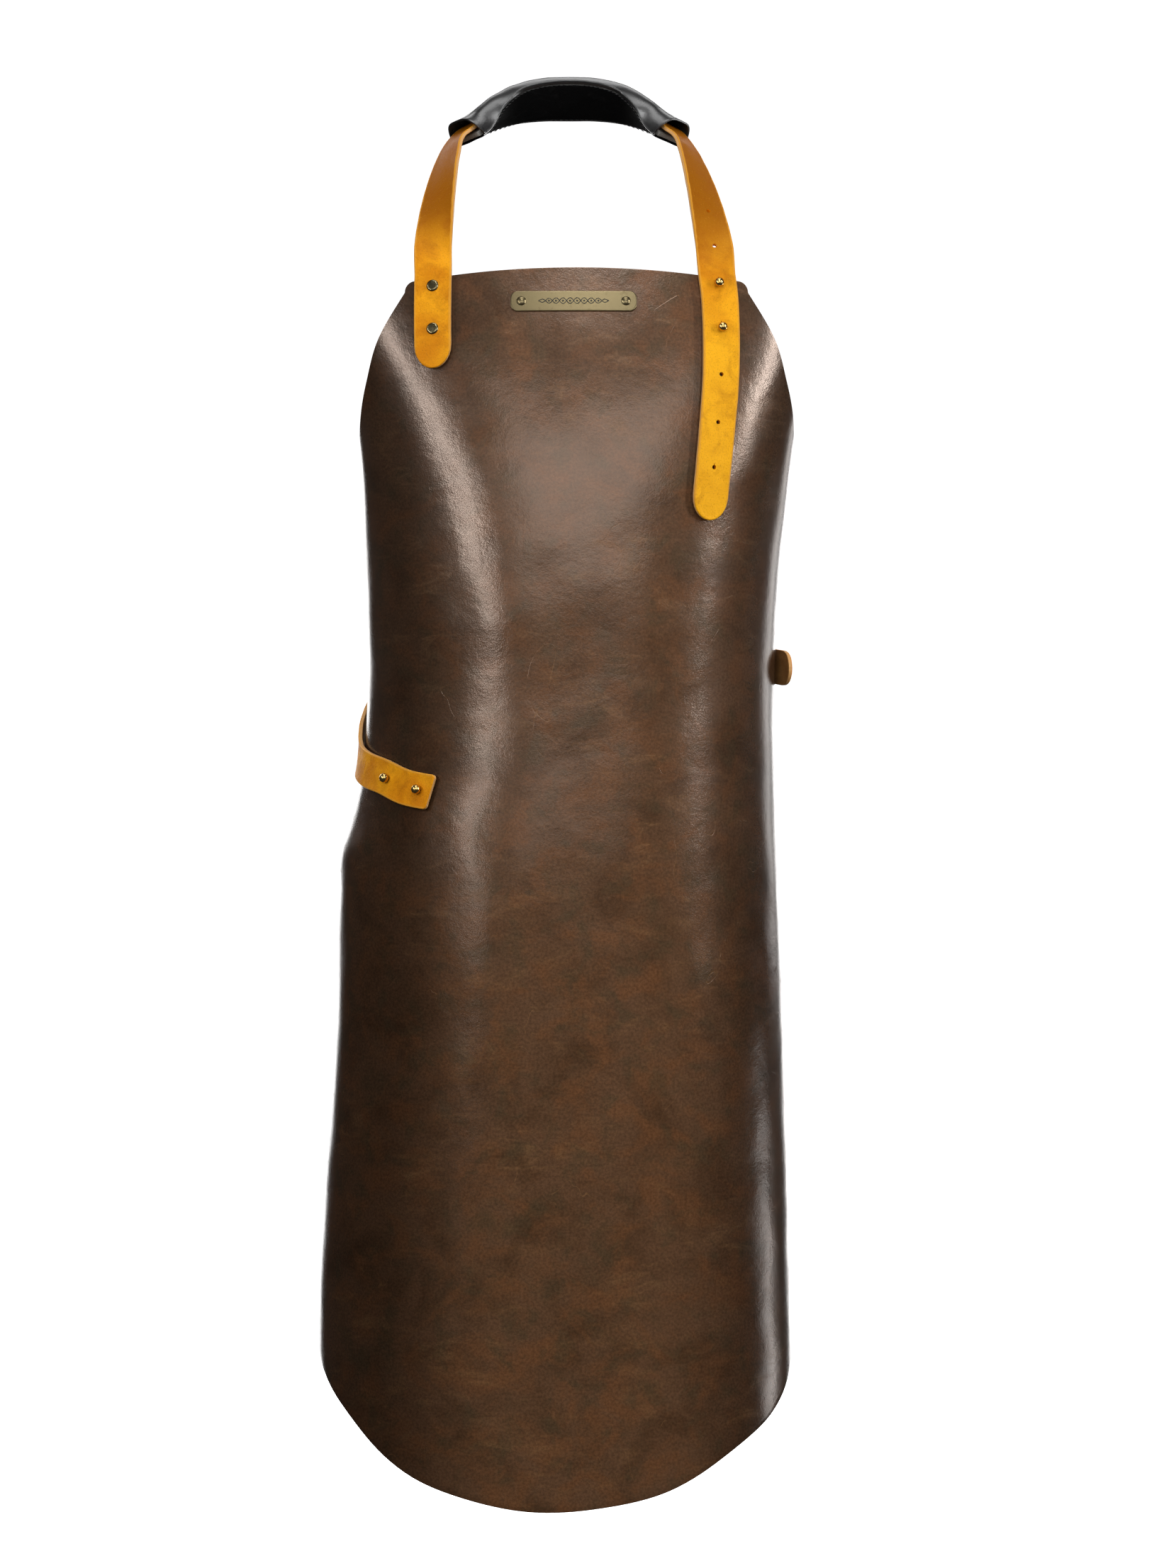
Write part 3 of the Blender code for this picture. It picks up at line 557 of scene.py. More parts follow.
class Paint:
    """A material's node tree, with short ways to add nodes and join them."""

    def __init__(self, name, metallic=0.0):
        self.material = bpy.data.materials.new(name)
        self.material.use_nodes = True
        self.tree = self.material.node_tree
        self.shader = self.tree.nodes["Principled BSDF"]
        self.shader.inputs["Metallic"].default_value = metallic
        self.flat = self.add("ShaderNodeUVMap").outputs["UV"]
        self.solid = self.add("ShaderNodeTexCoord").outputs["Object"]

    def add(self, kind, inputs=None, **settings):
        node = self.tree.nodes.new(kind)
        for key, value in settings.items():
            setattr(node, key, value)
        for key, value in (inputs or {}).items():
            self.put(node.inputs[key], value)
        return node

    def put(self, socket, value):
        if isinstance(value, bpy.types.NodeSocket):
            self.tree.links.new(value, socket)
        else:
            socket.default_value = value

    def set(self, **inputs):
        for key, value in inputs.items():
            self.put(self.shader.inputs[key.replace("_", " ")], value)

    def finish(self, colour, relief, **inputs):
        """Sets the colour, the relief (height, strength, distance) and the rest: the made material."""
        self.set(Base_Color=colour, Normal=self.bump(*relief), **inputs)
        return self.material

    def noise(self, at, scale, detail=3.0, rough=0.5, distortion=0.0, stretch=(1, 1, 1)):
        """Clouds, with about scale of them to a metre."""
        inputs = {
            "Vector": self.add("ShaderNodeMapping", {"Vector": at, "Scale": stretch}).outputs["Vector"],
            "Scale": scale, "Detail": detail, "Roughness": rough, "Distortion": distortion,
        }
        return self.add("ShaderNodeTexNoise", inputs).outputs["Fac"]

    def cells(self, at, scale):
        return self.add("ShaderNodeTexVoronoi", {"Vector": at, "Scale": scale}).outputs["Distance"]

    def math(self, operation, first, second=0.0, third=0.0):
        node = self.add("ShaderNodeMath", operation=operation)
        for socket, value in zip(node.inputs, (first, second, third)):
            self.put(socket, value)
        return node.outputs[0]

    def level(self, value, low, high, out_low=0.0, out_high=1.0):
        """The value, spread from low..high to out_low..out_high and clamped, with soft ends."""
        inputs = {"Value": value, "From Min": low, "From Max": high, "To Min": out_low, "To Max": out_high}
        return self.add("ShaderNodeMapRange", inputs, interpolation_type="SMOOTHSTEP").outputs[0]

    def mix(self, factor, low, high, blend="MIX"):
        node = self.add("ShaderNodeMix", data_type="RGBA", blend_type=blend)
        for index, value in ((0, factor), (6, low), (7, high)):
            self.put(node.inputs[index], value if not isinstance(value, tuple) else (*value, 1.0))
        return node.outputs[2]

    def bump(self, height, strength, distance, before=None):
        node = self.add("ShaderNodeBump", {"Height": height, "Strength": strength, "Distance": distance})
        if before:
            self.put(node.inputs["Normal"], before)
        return node.outputs["Normal"]

    def veil(self, colour, cloud, low, high, share, other):
        """Lays another colour over one, up to a share of it, where the cloud is between low and high."""
        return self.mix(self.level(cloud, low, high, 0.0, share), colour, other)

    def apart(self, vector):
        return self.add("ShaderNodeSeparateXYZ", {"Vector": vector}).outputs

    def lines(self, at, scale, width, stretch):
        """Thin wandering lines, as scratches are."""
        cloud = self.noise(at, scale, 2.0, 0.5, 1.5, stretch)
        off = self.math("ABSOLUTE", self.math("SUBTRACT", cloud, 0.5))
        return self.level(off, 0.0, width, 1.0, 0.0)


# ---- Materials ----

FRONT_MIDDLE = 0.020
# Painted shade: the colour that darkens the hide's sides.
PAINTED_SIDE_SHADE = (0.10, 0.10, 0.12)
DARK_BROWN = (0.0640, 0.0310, 0.0145)
MID_BROWN = (0.1060, 0.0530, 0.0270)
RED_BROWN = (0.1300, 0.0550, 0.0230)
OLIVE_BROWN = (0.0620, 0.0410, 0.0210)
OCHRE = (0.2100, 0.1050, 0.0420)
WAX_TINT = (1.0, 0.80, 0.68, 1.0)


def hide_leather():
    """Waxed pull-up leather: soft clouds of browns, paler where it has been bent, and fine scratches; its
    sides are darkened with painted shade, and its shine is set by place as a painted highlight.
    """
    paint = Paint("hide_grain")
    flat = paint.flat
    across, up, _ = paint.apart(flat)
    clouds = paint.noise(flat, 22.0, 7.0, 0.62, 0.5)
    colour = paint.mix(paint.level(clouds, 0.28, 0.60), DARK_BROWN, MID_BROWN)
    reds = paint.noise(flat, 31.0, 6.0, 0.60, 0.6, (1.0, 1.2, 1))
    colour = paint.veil(colour, reds, 0.44, 0.66, 0.80, RED_BROWN)
    olives = paint.noise(flat, 43.0, 6.0, 0.62, 0.4)
    colour = paint.veil(colour, olives, 0.48, 0.68, 0.65, OLIVE_BROWN)

    streaky = paint.noise(flat, 44.0, 7.0, 0.64, 0.9, (0.55, 1.45, 1))
    patches = paint.level(paint.noise(flat, 11.0, 4.0, 0.5, 0.4), 0.38, 0.64, 0.25, 1.0)
    pulled = paint.math("MULTIPLY", paint.level(streaky, 0.50, 0.76), patches)
    colour = paint.mix(paint.math("MULTIPLY", pulled, 0.50), colour, OCHRE)

    scratches = paint.lines(flat, 13.0, 0.0035, (1.0, 0.6, 1))
    few = paint.level(paint.noise(flat, 21.0, 2.0), 0.56, 0.66)
    scratches = paint.math("MULTIPLY", scratches, few)
    colour = paint.mix(paint.math("MULTIPLY", scratches, 0.45), colour, OCHRE)

    # Painted shade: the hide's colour is darkened towards its sides, away from the front middle, where it
    # turns away from the lamps.
    painted_side_shade_share = paint.level(paint.math("ABSOLUTE", paint.math("SUBTRACT", across, FRONT_MIDDLE)), 0.055, 0.150)
    colour = paint.mix(painted_side_shade_share, colour, paint.mix(0.72, colour, PAINTED_SIDE_SHADE, "MULTIPLY"))

    speck = paint.level(paint.noise(flat, 520.0, 4.0, 0.65), 0.30, 0.70)
    colour = paint.mix(0.6, colour, paint.mix(speck, (0.60,) * 3, (1.40,) * 3), "MULTIPLY")
    paint.set(Base_Color=colour)
    worn = paint.math("MULTIPLY_ADD", pulled, 0.08, 0.17)
    paint.set(Roughness=paint.math("MULTIPLY_ADD", paint.noise(flat, 30.0, 6.0, 0.65), 0.13, worn))
    # Painted highlight: the specular level is set high on the upper bib and on the right flank and low
    # further down, standing in for where the lamps' highlights fall.
    painted_highlight_share = paint.math("MAXIMUM", paint.level(up, -0.53, -0.19), paint.level(across, 0.16, 0.21))
    paint.set(Specular_IOR_Level=paint.math("MULTIPLY_ADD", painted_highlight_share, 0.62, 0.13), Specular_Tint=WAX_TINT)

    grain = paint.cells(flat, 900.0)
    soft = paint.noise(flat, 240.0, 4.0, 0.6)
    height = paint.math("ADD", paint.math("MULTIPLY", grain, 0.45), soft)
    height = paint.math("MULTIPLY_ADD", scratches, -0.6, height)
    normal = paint.bump(height, 0.30, 0.00022)
    slow = paint.noise(flat, 42.0, 3.0, 0.5, 0.3)
    paint.set(Normal=paint.bump(slow, 0.22, 0.0016, normal))
    return paint.material


def hide_suede():
    """The hide's flesh side: brown, fibrous and dull."""
    paint = Paint("hide_flesh_side")
    flat = paint.flat
    clouds = paint.noise(flat, 14.0, 5.0, 0.6, 0.5)
    colour = paint.mix(clouds, (0.095, 0.056, 0.036), (0.175, 0.110, 0.074))
    fibres = paint.noise(flat, 420.0, 4.0, 0.7, 1.0, (1.0, 0.45, 1))
    colour = paint.veil(colour, fibres, 0.30, 0.72, 0.75, (0.225, 0.150, 0.105))
    strokes = paint.noise(flat, 60.0, 3.0, 0.6, 1.0, (1.8, 0.4, 1))
    colour = paint.veil(colour, strokes, 0.55, 0.75, 0.4, (0.060, 0.036, 0.024))
    return paint.finish(
        colour, (paint.math("ADD", fibres, clouds), 0.7, 0.0006),
        Roughness=0.92, Specular_IOR_Level=0.18, Sheen_Weight=0.25, Sheen_Roughness=0.6,
    )


def plain_matter(name, cloud, dark, pale, roughness, relief):
    """Cut edges and thread: two colours mixed by one solid cloud, which also gives the relief."""
    paint = Paint(name)
    fibres = paint.noise(paint.solid, *cloud)
    return paint.finish(paint.mix(fibres, dark, pale), (fibres, *relief), Roughness=roughness)


TAN = (0.610, 0.205, 0.0040)
TAN_BRIGHT = (0.820, 0.345, 0.0085)
TAN_DEEP = (0.270, 0.065, 0.0025)
TAN_EDGE = (0.660, 0.300, 0.035)
# Painted shade: the colour of the neck strap's loop off the bib.
TAN_PAINTED_SHADE = (0.300, 0.096, 0.0024)
# Painted light: the colour of the neck strap past its loop, on the lit right side.
TAN_PAINTED_LIGHT = (0.920, 0.460, 0.0140)
TAN_TINT = (1.0, 0.72, 0.40, 1.0)
PAINTED_BAND_PAST = 0.015
PAINTED_BAND_FADE = 0.040


def strap_leather(half_width, painted_shade_span=None):
    """Tan leather with a pebbled, speckled grain that is paler along its cut edges.

    The second argument gives the lengths, from and to, where the strap is painted darker as shade; past
    its end the strap is painted brighter as light.
    """
    paint = Paint("strap_grain")
    flat = paint.flat
    along, aside, _ = paint.apart(flat)
    clouds = paint.noise(flat, 34.0, 5.0, 0.6, 0.5)
    colour = paint.mix(paint.level(clouds, 0.34, 0.66), TAN, TAN_BRIGHT)
    # Painted shade and light: the strap's loop between the given lengths is painted darker, and the strap
    # past its end is painted brighter, as the lamp from the front right lights it.
    if painted_shade_span:
        start, stop = painted_shade_span
        since = paint.level(along, start - PAINTED_BAND_PAST, start + PAINTED_BAND_FADE)
        until = paint.level(along, stop + PAINTED_BAND_FADE, stop - PAINTED_BAND_FADE)
        colour = paint.mix(paint.math("MULTIPLY", since, until), colour, TAN_PAINTED_SHADE)
        painted_light_share = paint.level(along, stop + PAINTED_BAND_PAST, stop + 2 * PAINTED_BAND_FADE, 0.0, 0.70)
        colour = paint.mix(painted_light_share, colour, TAN_PAINTED_LIGHT)
    burnt = paint.noise(flat, 60.0, 6.0, 0.65, 0.8)
    colour = paint.veil(colour, burnt, 0.46, 0.74, 0.38, TAN_DEEP)
    specks = paint.noise(flat, 900.0, 3.0, 0.65)
    colour = paint.veil(colour, specks, 0.52, 0.74, 0.50, TAN_DEEP)
    pale_specks = paint.noise(flat, 760.0, 2.0, 0.5)
    colour = paint.veil(colour, pale_specks, 0.60, 0.78, 0.40, TAN_EDGE)
    wander = paint.math("MULTIPLY_ADD", paint.noise(flat, 160.0, 3.0), 0.0016, half_width - 0.0026)
    beyond = paint.math("SUBTRACT", paint.math("ABSOLUTE", aside), wander)
    colour = paint.veil(colour, beyond, 0.0, 0.0010, 0.75, TAN_EDGE)
    rough = paint.math("MULTIPLY_ADD", burnt, 0.20, 0.42)
    pebbles = paint.cells(flat, 620.0)
    wrinkles = paint.noise(flat, 300.0, 4.0, 0.6, 0.6)
    height = paint.math("MULTIPLY_ADD", pebbles, 0.7, wrinkles)
    return paint.finish(
        colour, (height, 0.55, 0.00028),
        Roughness=rough, Specular_IOR_Level=0.14, Specular_Tint=TAN_TINT,
    )


def strap_back():
    paint = Paint("strap_flesh_side")
    fibres = paint.noise(paint.flat, 520.0, 4.0, 0.7, 1.0, (0.4, 1.0, 1))
    clouds = paint.noise(paint.flat, 40.0, 4.0, 0.6)
    colour = paint.mix(fibres, (0.300, 0.125, 0.032), (0.520, 0.260, 0.085))
    colour = paint.veil(colour, clouds, 0.45, 0.70, 0.5, (0.220, 0.085, 0.020))
    return paint.finish(colour, (fibres, 0.6, 0.0004), Roughness=0.88, Specular_IOR_Level=0.2)


def pad_leather():
    """Smooth black leather with a fine grain and a satin shine."""
    paint = Paint("pad_black_leather")
    at = paint.flat
    clouds = paint.noise(at, 60.0, 4.0, 0.6)
    colour = paint.mix(clouds, (0.0045, 0.0045, 0.0050), (0.0130, 0.0128, 0.0130))
    scuffs = paint.noise(at, 130.0, 5.0, 0.7, 1.0)
    colour = paint.veil(colour, scuffs, 0.60, 0.80, 0.35, (0.045, 0.043, 0.042))
    rough = paint.math("MULTIPLY_ADD", clouds, 0.14, 0.22)
    grain = paint.math("MULTIPLY_ADD", paint.cells(at, 1000.0), 0.6, paint.noise(at, 260.0, 4.0))
    return paint.finish(colour, (grain, 0.28, 0.00020), Roughness=rough, Specular_IOR_Level=0.9)


def pad_suede():
    """Black suede: no shine, a soft nap and a few brushed marks."""
    paint = Paint("pad_black_suede")
    at = paint.flat
    nap = paint.noise(at, 520.0, 5.0, 0.72, 0.8)
    brushed = paint.noise(at, 70.0, 4.0, 0.6, 1.2)
    colour = paint.mix(nap, (0.0012, 0.0012, 0.0013), (0.0050, 0.0049, 0.0050))
    colour = paint.veil(colour, brushed, 0.50, 0.75, 0.40, (0.011, 0.0108, 0.011))
    height = paint.math("ADD", nap, brushed)
    return paint.finish(colour, (height, 0.8, 0.0004), Roughness=0.98, Specular_IOR_Level=0.05)


def pad_foam():
    paint = Paint("pad_foam_cells")
    cells = paint.cells(paint.solid, 1300.0)
    colour = paint.mix(cells, (0.42, 0.41, 0.38), (0.22, 0.215, 0.20))
    return paint.finish(colour, (cells, 0.8, 0.0004), Roughness=0.95)


def antique_brass(name, bright, tarnish, tarnish_share, roughness=0.24):
    """Brass that has gone brown and green in clouds, brighter where it is rubbed."""
    paint = Paint(name, metallic=1.0)
    at = paint.solid
    clouds = paint.noise(at, 170.0, 5.0, 0.65, 0.8)
    share = paint.level(clouds, 0.62 - tarnish_share, 0.95 - tarnish_share)
    colour = paint.mix(share, bright, tarnish)
    verdigris = paint.noise(at, 420.0, 4.0, 0.6)
    colour = paint.veil(colour, verdigris, 0.58, 0.80, 0.35, (0.16, 0.17, 0.08))
    rough = paint.math("MULTIPLY_ADD", share, 0.22, roughness)
    scuffs = paint.noise(at, 1500.0, 3.0, 0.6)
    return paint.finish(colour, (scuffs, 0.22, 0.00008), Roughness=rough)


def engraving():
    paint = Paint("plate_dark_enamel")
    wear = paint.noise(paint.solid, 900.0, 4.0, 0.6)
    colour = paint.mix(paint.level(wear, 0.45, 0.75), (0.010, 0.012, 0.012), (0.070, 0.062, 0.030))
    return paint.finish(colour, (wear, 0.3, 0.00005), Roughness=0.45)


def screw_steel():
    paint = Paint("stud_screw_steel", metallic=1.0)
    brushed = paint.noise(paint.solid, 900.0, 3.0, 0.6, 0.0, (1.0, 1.0, 0.15))
    colour = paint.mix(brushed, (0.42, 0.38, 0.31), (0.62, 0.57, 0.47))
    rough = paint.math("MULTIPLY_ADD", brushed, 0.25, 0.25)
    return paint.finish(colour, (brushed, 0.2, 0.00005), Roughness=rough)


FIBRES = (4.0, 0.7)
HIDE_EDGE = plain_matter(
    "hide_cut_edge", (700.0, *FIBRES), (0.045, 0.027, 0.018), (0.120, 0.075, 0.048), 0.72, (0.5, 0.0003))
STRAP_EDGE = plain_matter(
    "strap_cut_edge", (800.0, *FIBRES), (0.480, 0.210, 0.050), (0.780, 0.460, 0.180), 0.65, (0.5, 0.00025))
THREAD = plain_matter(
    "pad_thread", (2600.0, 2.0), (0.008, 0.008, 0.009), (0.035, 0.034, 0.034), 0.55, (0.6, 0.0001))
HIDE = [hide_leather(), hide_suede(), HIDE_EDGE]
# The neck strap's loop between its folds is painted darker as shade, and past the right fold the strap is
# painted brighter as light.
STRAP = [strap_leather(NECK_HALF_WIDTH, (LEFT_FOLD, RIGHT_FOLD)), strap_back(), STRAP_EDGE]
BELT_STRAP = [strap_leather(BELT_HALF_WIDTH), STRAP[1], STRAP[2]]
BLACK_LEATHER = pad_leather()
SUEDE = pad_suede()
FOAM = pad_foam()
CAP_BRASS = antique_brass("cap_brass", (0.23, 0.19, 0.10), (0.10, 0.085, 0.050), 0.15)
STUD_BRASS = antique_brass("stud_brass", (0.62, 0.42, 0.15), (0.30, 0.17, 0.055), 0.05)
PLATE_BRASS = antique_brass("plate_brass", (0.20, 0.160, 0.085), (0.12, 0.090, 0.043), 0.08, 0.34)
ENAMEL = engraving()
STEEL = screw_steel()


# ---- The panel ----

PANEL_COLUMNS = 150
PANEL_ROWS = 230
PANEL_EDGE_RADIUS = 0.0005
ROW_CROWDING = 1.35
FOLD_ABOVE = 0.010
FOLD_BELOW = 0.230
SWELL = 0.0006
DENT = 0.00022
FLARE_AT_BELT = 0.0024
HEM_RIPPLE = 0.0016
MOST_LIFT = 0.0013
MORE_LIFT_BELOW_BELT = 0.02


def spot_at(across, down, middle_across, across_width, middle_down, down_width):
    """A soft round spot on the hide: 1 at its middle, and 0 well away from it."""
    return bump_at(across, middle_across, across_width) * bump_at(down, middle_down, down_width)


# Spots on the hide: middle across, width across, middle down, width down.
BELT_SPOT = (-0.155, 0.060, 0.352, 0.045)
FLARE_SPOT = (-0.212, 0.040, 0.412, 0.016)
PLATE_SPOT = (PLATE_MIDDLE[1], 0.052, PLATE_MIDDLE[0], 0.018)
CALM_AT_TOP = 0.85
CALM_DEPTH = 0.10
CALM_AT_BELT = 0.75


def panel_lift(across, down):
    """How the leather stands off its form: swells, dents, and flares at the hem and below the belt."""
    slow = SWELL * waves(across, down, 11, 0.190)
    small = DENT * waves(across, down, 23, 0.045, 14)
    calm = 1 - CALM_AT_TOP * bump_at(down, 0.0, CALM_DEPTH)
    lift = (slow + small) * calm * (1 - CALM_AT_BELT * spot_at(across, down, *BELT_SPOT))
    flare = FLARE_AT_BELT * spot_at(across, down, *FLARE_SPOT)
    ripple = HEM_RIPPLE * waves(across, 0.0, 31, 0.16, 5) * fade(down, 0.60, 0.85)
    lift = (lift + flare + ripple) * (1 - spot_at(across, down, *PLATE_SPOT))
    return np.minimum(lift, MOST_LIFT + MORE_LIFT_BELOW_BELT * fade(down, 0.37, 0.42))


def make_panel():
    def place(f, g):
        spread = np.sin(f * math.pi / 2)
        top = BIB_CROWN * spread * spread
        low = hem_down(spread * PANEL_HALF_WIDTH)
        down = top + (low - top) * g**ROW_CROWDING
        across = spread * bib_half_width(down)
        lift = panel_lift(across, down)
        return panel_point(across, down, lift), np.stack((across, -down), axis=-1)

    panel = laid_grid("apron_hide", PANEL_COLUMNS, PANEL_ROWS, place, HIDE)
    thicken(panel, PANEL_THICK, inner=1, rim=2)
    round_cut_edges(panel, PANEL_EDGE_RADIUS)
    fold = panel_point(0.0, FOLD_DOWN - FOLD_ABOVE)
    below = panel_point(0.0, FOLD_DOWN + FOLD_BELOW)
    below[1] = fold[1]
    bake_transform(panel)
    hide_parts("apron_bib", "apron_skirt")
    return panel


# ---- Straps ----

EDGE_RADIUS = 0.0006
STRAP_COLUMNS = 5
STRAP_STEP = 0.0035
EDGE_ROLL = 0.00035
ROLL_WIDTH = 0.0009
WOBBLE = 0.00012
WOBBLE_LENGTH = 0.016
TAB_CORNER = 0.0028
TAB_SLANT = 0.0018
SLANT_REACH = 0.012

# How far the rows and columns next to an edge are from it, so that its rounding is smooth.
EDGE_ROWS = np.array((0.0, 0.00004, 0.00014, 0.00030, 0.00050, 0.00075, 0.00120))
TIP_ROWS = np.array((
    0.00003, 0.0001, 0.00025, 0.00045, 0.0007, 0.0011, 0.0018, 0.0028, 0.0042, 0.0060, 0.0085, 0.0118,
))


def inside_corner(past_x, past_y, reach_x, reach_y):
    """How far inside the edge a point is, at a corner that is a quarter of an ellipse."""
    x = np.maximum(past_x, 0.0) / reach_x
    y = np.maximum(past_y, 0.0) / reach_y
    out = np.hypot(x, y)
    slope = np.hypot(x / reach_x, y / reach_y)
    return np.where(out > 0, (1 - out) * out / np.maximum(slope, 1e-9), 1.0)


def edge_fall(to_edge, radius):
    """How far a rounded edge has fallen below the face, at a distance inside it."""
    near = np.clip(1 - to_edge / radius, 0.0, 1.0)
    return radius * (1 - np.sqrt(1 - near * near))


def mirrored(stations):
    """Stations from the middle out, with the other side's before them."""
    return np.concatenate((-stations[:0:-1], stations))


def station(stations, share):
    """The stations that a grid's even steps from 0 to 1 stand for."""
    return stations[np.rint(share * (len(stations) - 1)).astype(int)]


def lay_faces(piece, outer, inner):
    """Puts the two faces of a thickened grid in place."""
    piece.data.vertices.foreach_set("co", np.concatenate((outer, inner)).astype(np.float32).ravel())
    piece.data.update()
    return shade(piece)


class Outline:
    """A strap's outline when it is flat. Each tip is its reach and the width of its rounded corners."""

    def __init__(self, start, stop, half_width, start_tip=None, stop_tip=None, slant=0.0):
        self.ends = ((start, 1, start_tip), (stop, -1, stop_tip))
        self.half_width = half_width
        self.slant = slant

    def rows(self):
        lengths = []
        low, high = self.ends[0][0], self.ends[1][0]
        for end, inward, tip in self.ends:
            if tip:
                steps = np.append(TIP_ROWS[TIP_ROWS < tip[0] * 0.93], tip[0])
                lengths += list(end + inward * steps)
        inner_low, inner_high = (end + inward * (tip[0] if tip else 0) for end, inward, tip in self.ends)
        count = max(2, round((inner_high - inner_low) / STRAP_STEP) + 1)
        for length in np.linspace(inner_low, inner_high, count):
            if all(abs(length - other) > 1e-5 for other in lengths):
                lengths.append(length)
        return np.array(sorted(min(max(length, low), high) for length in lengths))

    def half_at(self, length):
        half = np.full(len(length), self.half_width)
        for end, inward, tip in self.ends:
            if tip:
                reach, corner = tip
                into = np.clip((reach - inward * (length - end)) / reach, 0.0, 1.0)
                half -= corner * (1 - np.sqrt(1 - into * into))
        return half

    def to_edge(self, length, aside):
        nearest = self.half_width - np.abs(aside)
        for end, inward, tip in self.ends:
            if tip:
                reach, corner = tip
                past = np.abs(aside) - (self.half_width - corner)
                short = reach - inward * (length - end)
                nearest = np.minimum(nearest, inside_corner(short, past, reach, corner))
        return np.maximum(nearest, 0.0)

    def slanted(self, length, aside):
        """The length, shifted so that the strap's start is cut at a slant."""
        near = 1 - fade(length - self.ends[0][0], 0.0, SLANT_REACH)
        return length + near * (self.slant * aside / self.half_width + abs(self.slant))


def make_strap(name, path, outline, materials, seed, holes=()):
    """A leather strap along a path, slightly rolled up at its rounded edges, with its holes cut."""
    rows = outline.rows()
    across_rows = np.linspace(0, 1, STRAP_COLUMNS)[:-1] * (1 - EDGE_ROWS[-1] / outline.half_width)
    sides = mirrored(np.concatenate((across_rows, 1 - EDGE_ROWS[::-1] / outline.half_width)))
    laid = {}

    def place(f, g):
        flat_length = station(rows, g)
        side = station(sides, (f + 1) / 2)
        aside = side * outline.half_at(flat_length)
        length = outline.slanted(flat_length, aside)
        middle, out, across = path.at(length)
        to_edge = outline.to_edge(flat_length, aside)
        roll = EDGE_ROLL * bump_at(to_edge, ROLL_WIDTH, ROLL_WIDTH)
        wobble = WOBBLE * waves(length, aside, seed, WOBBLE_LENGTH)
        fall = edge_fall(to_edge, EDGE_RADIUS)
        level = middle + across * aside[:, None]
        laid["outer"] = level + out * (roll + wobble - fall)[:, None]
        laid["inner"] = level + out * (roll + wobble + fall - STRAP_THICK)[:, None]
        return laid["outer"], np.stack((length, aside), axis=-1)

    strap = laid_grid(name, len(sides) - 1, len(rows) - 1, place, materials)
    thicken(strap, STRAP_THICK, inner=1, rim=2)
    lay_faces(strap, laid["outer"], laid["inner"])
    return cut(strap, holes) if holes else strap


def hole(frame_at, radius, slit_length=0.0):
    """The cutters for a round hole and, with a slit length, a knife cut that runs up from it."""
    tools = [round_cutter(frame_at, radius)]
    if slit_length:
        length = radius + slit_length
        tools.append(box_cutter(frame_at, (SLIT_WIDTH, length, CUT_DEPTH), (0, length / 2, 0)))
    return tools


def strap_length_at(down):
    """How far along the right neck strap a hole lies that is that far down the bib."""
    downs = BIB_PLACE[2] - NECK.places[:, 2]
    right = NECK.lengths > RIGHT_FOLD
    return float(np.interp(down, downs[right], NECK.lengths[right]))


NECK_TIP_REACH = 1.25
BELT_TIP_REACH = 1.2
STUD_SLIT = 0.0030
LAST_HOLE_SLIT = 0.0012
BEND_PAST_BIB = (0.008, 0.030)
TAIL_BEND = 0.022
TAB_BEND = 0.020


def make_neck_strap(frames):
    half = NECK_HALF_WIDTH
    tip = (half * NECK_TIP_REACH, half)
    left = make_strap("neck_strap_left", NECK, Outline(0, PAD_MIDDLE, half, start_tip=tip), STRAP, 41)
    holes = []
    for rise in FREE_HOLES_ABOVE:
        holes += hole(NECK.frame(RIGHT_FOLD - rise), FREE_HOLE_RADIUS)
    for key in NECK_STUDS:
        holes += hole(frames["neck_stud", key], STUD_NECK_RADIUS + TOUCH_GAP, STUD_SLIT)
    right = make_strap("neck_strap_right", NECK, Outline(PAD_MIDDLE, TAIL_START, half), STRAP, 43, holes)
    holes = []
    for down, slit_length in zip(FREE_HOLES_BELOW, (0.0, 0.0, LAST_HOLE_SLIT)):
        holes += hole(NECK.frame(strap_length_at(down)), FREE_HOLE_RADIUS, slit_length)
    loose = Outline(TAIL_START, NECK.lengths[-1], half, stop_tip=tip)
    tail = make_strap("neck_strap_adjuster", NECK, loose, STRAP, 47, holes)
    for strap, fold, upward in ((left, LEFT_FOLD, 1), (right, RIGHT_FOLD, -1)):
        start = NECK.at(fold - upward * BEND_PAST_BIB[0])[0]
        end = NECK.at(fold + upward * BEND_PAST_BIB[1])[0]
        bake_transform(strap)
    hinge = NECK.at(TAIL_START)[0]
    NECK.at(TAIL_START + TAIL_BEND)[0]
    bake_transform(tail)
    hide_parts("neck_strap_left_end", "neck_strap_loop")
    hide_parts("neck_strap_right_end", "neck_strap_loop")
    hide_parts("neck_strap_tail")


def make_belt(frames):
    hinge = belt_length(BELT_HINGE_TURN)
    half = BELT_HALF_WIDTH
    holes = [tool for key in BELT_STUD_TURNS for tool in hole(frames["belt_stud", key], STUD_HOLE_RADIUS)]
    cut_square = Outline(0, hinge, half, start_tip=(TAB_CORNER, TAB_CORNER), slant=TAB_SLANT)
    tab = make_strap("belt_tab_end", BELT, cut_square, BELT_STRAP, 53, holes)
    holes = hole(BELT.frame(belt_length(BELT_TAIL_HOLE_TURN)), FREE_HOLE_RADIUS)
    rounded = Outline(hinge, BELT.lengths[-1], half, stop_tip=(half * BELT_TIP_REACH, half))
    belt = make_strap("belt_strap", BELT, rounded, BELT_STRAP, 59, holes)
    BELT.at(hinge)[0]
    BELT.at(hinge - TAB_BEND)[0]
    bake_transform(tab)
    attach(belt, "bib")
    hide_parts("waist_belt_tab")
    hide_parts("waist_belt")


# ---- Fasteners ----


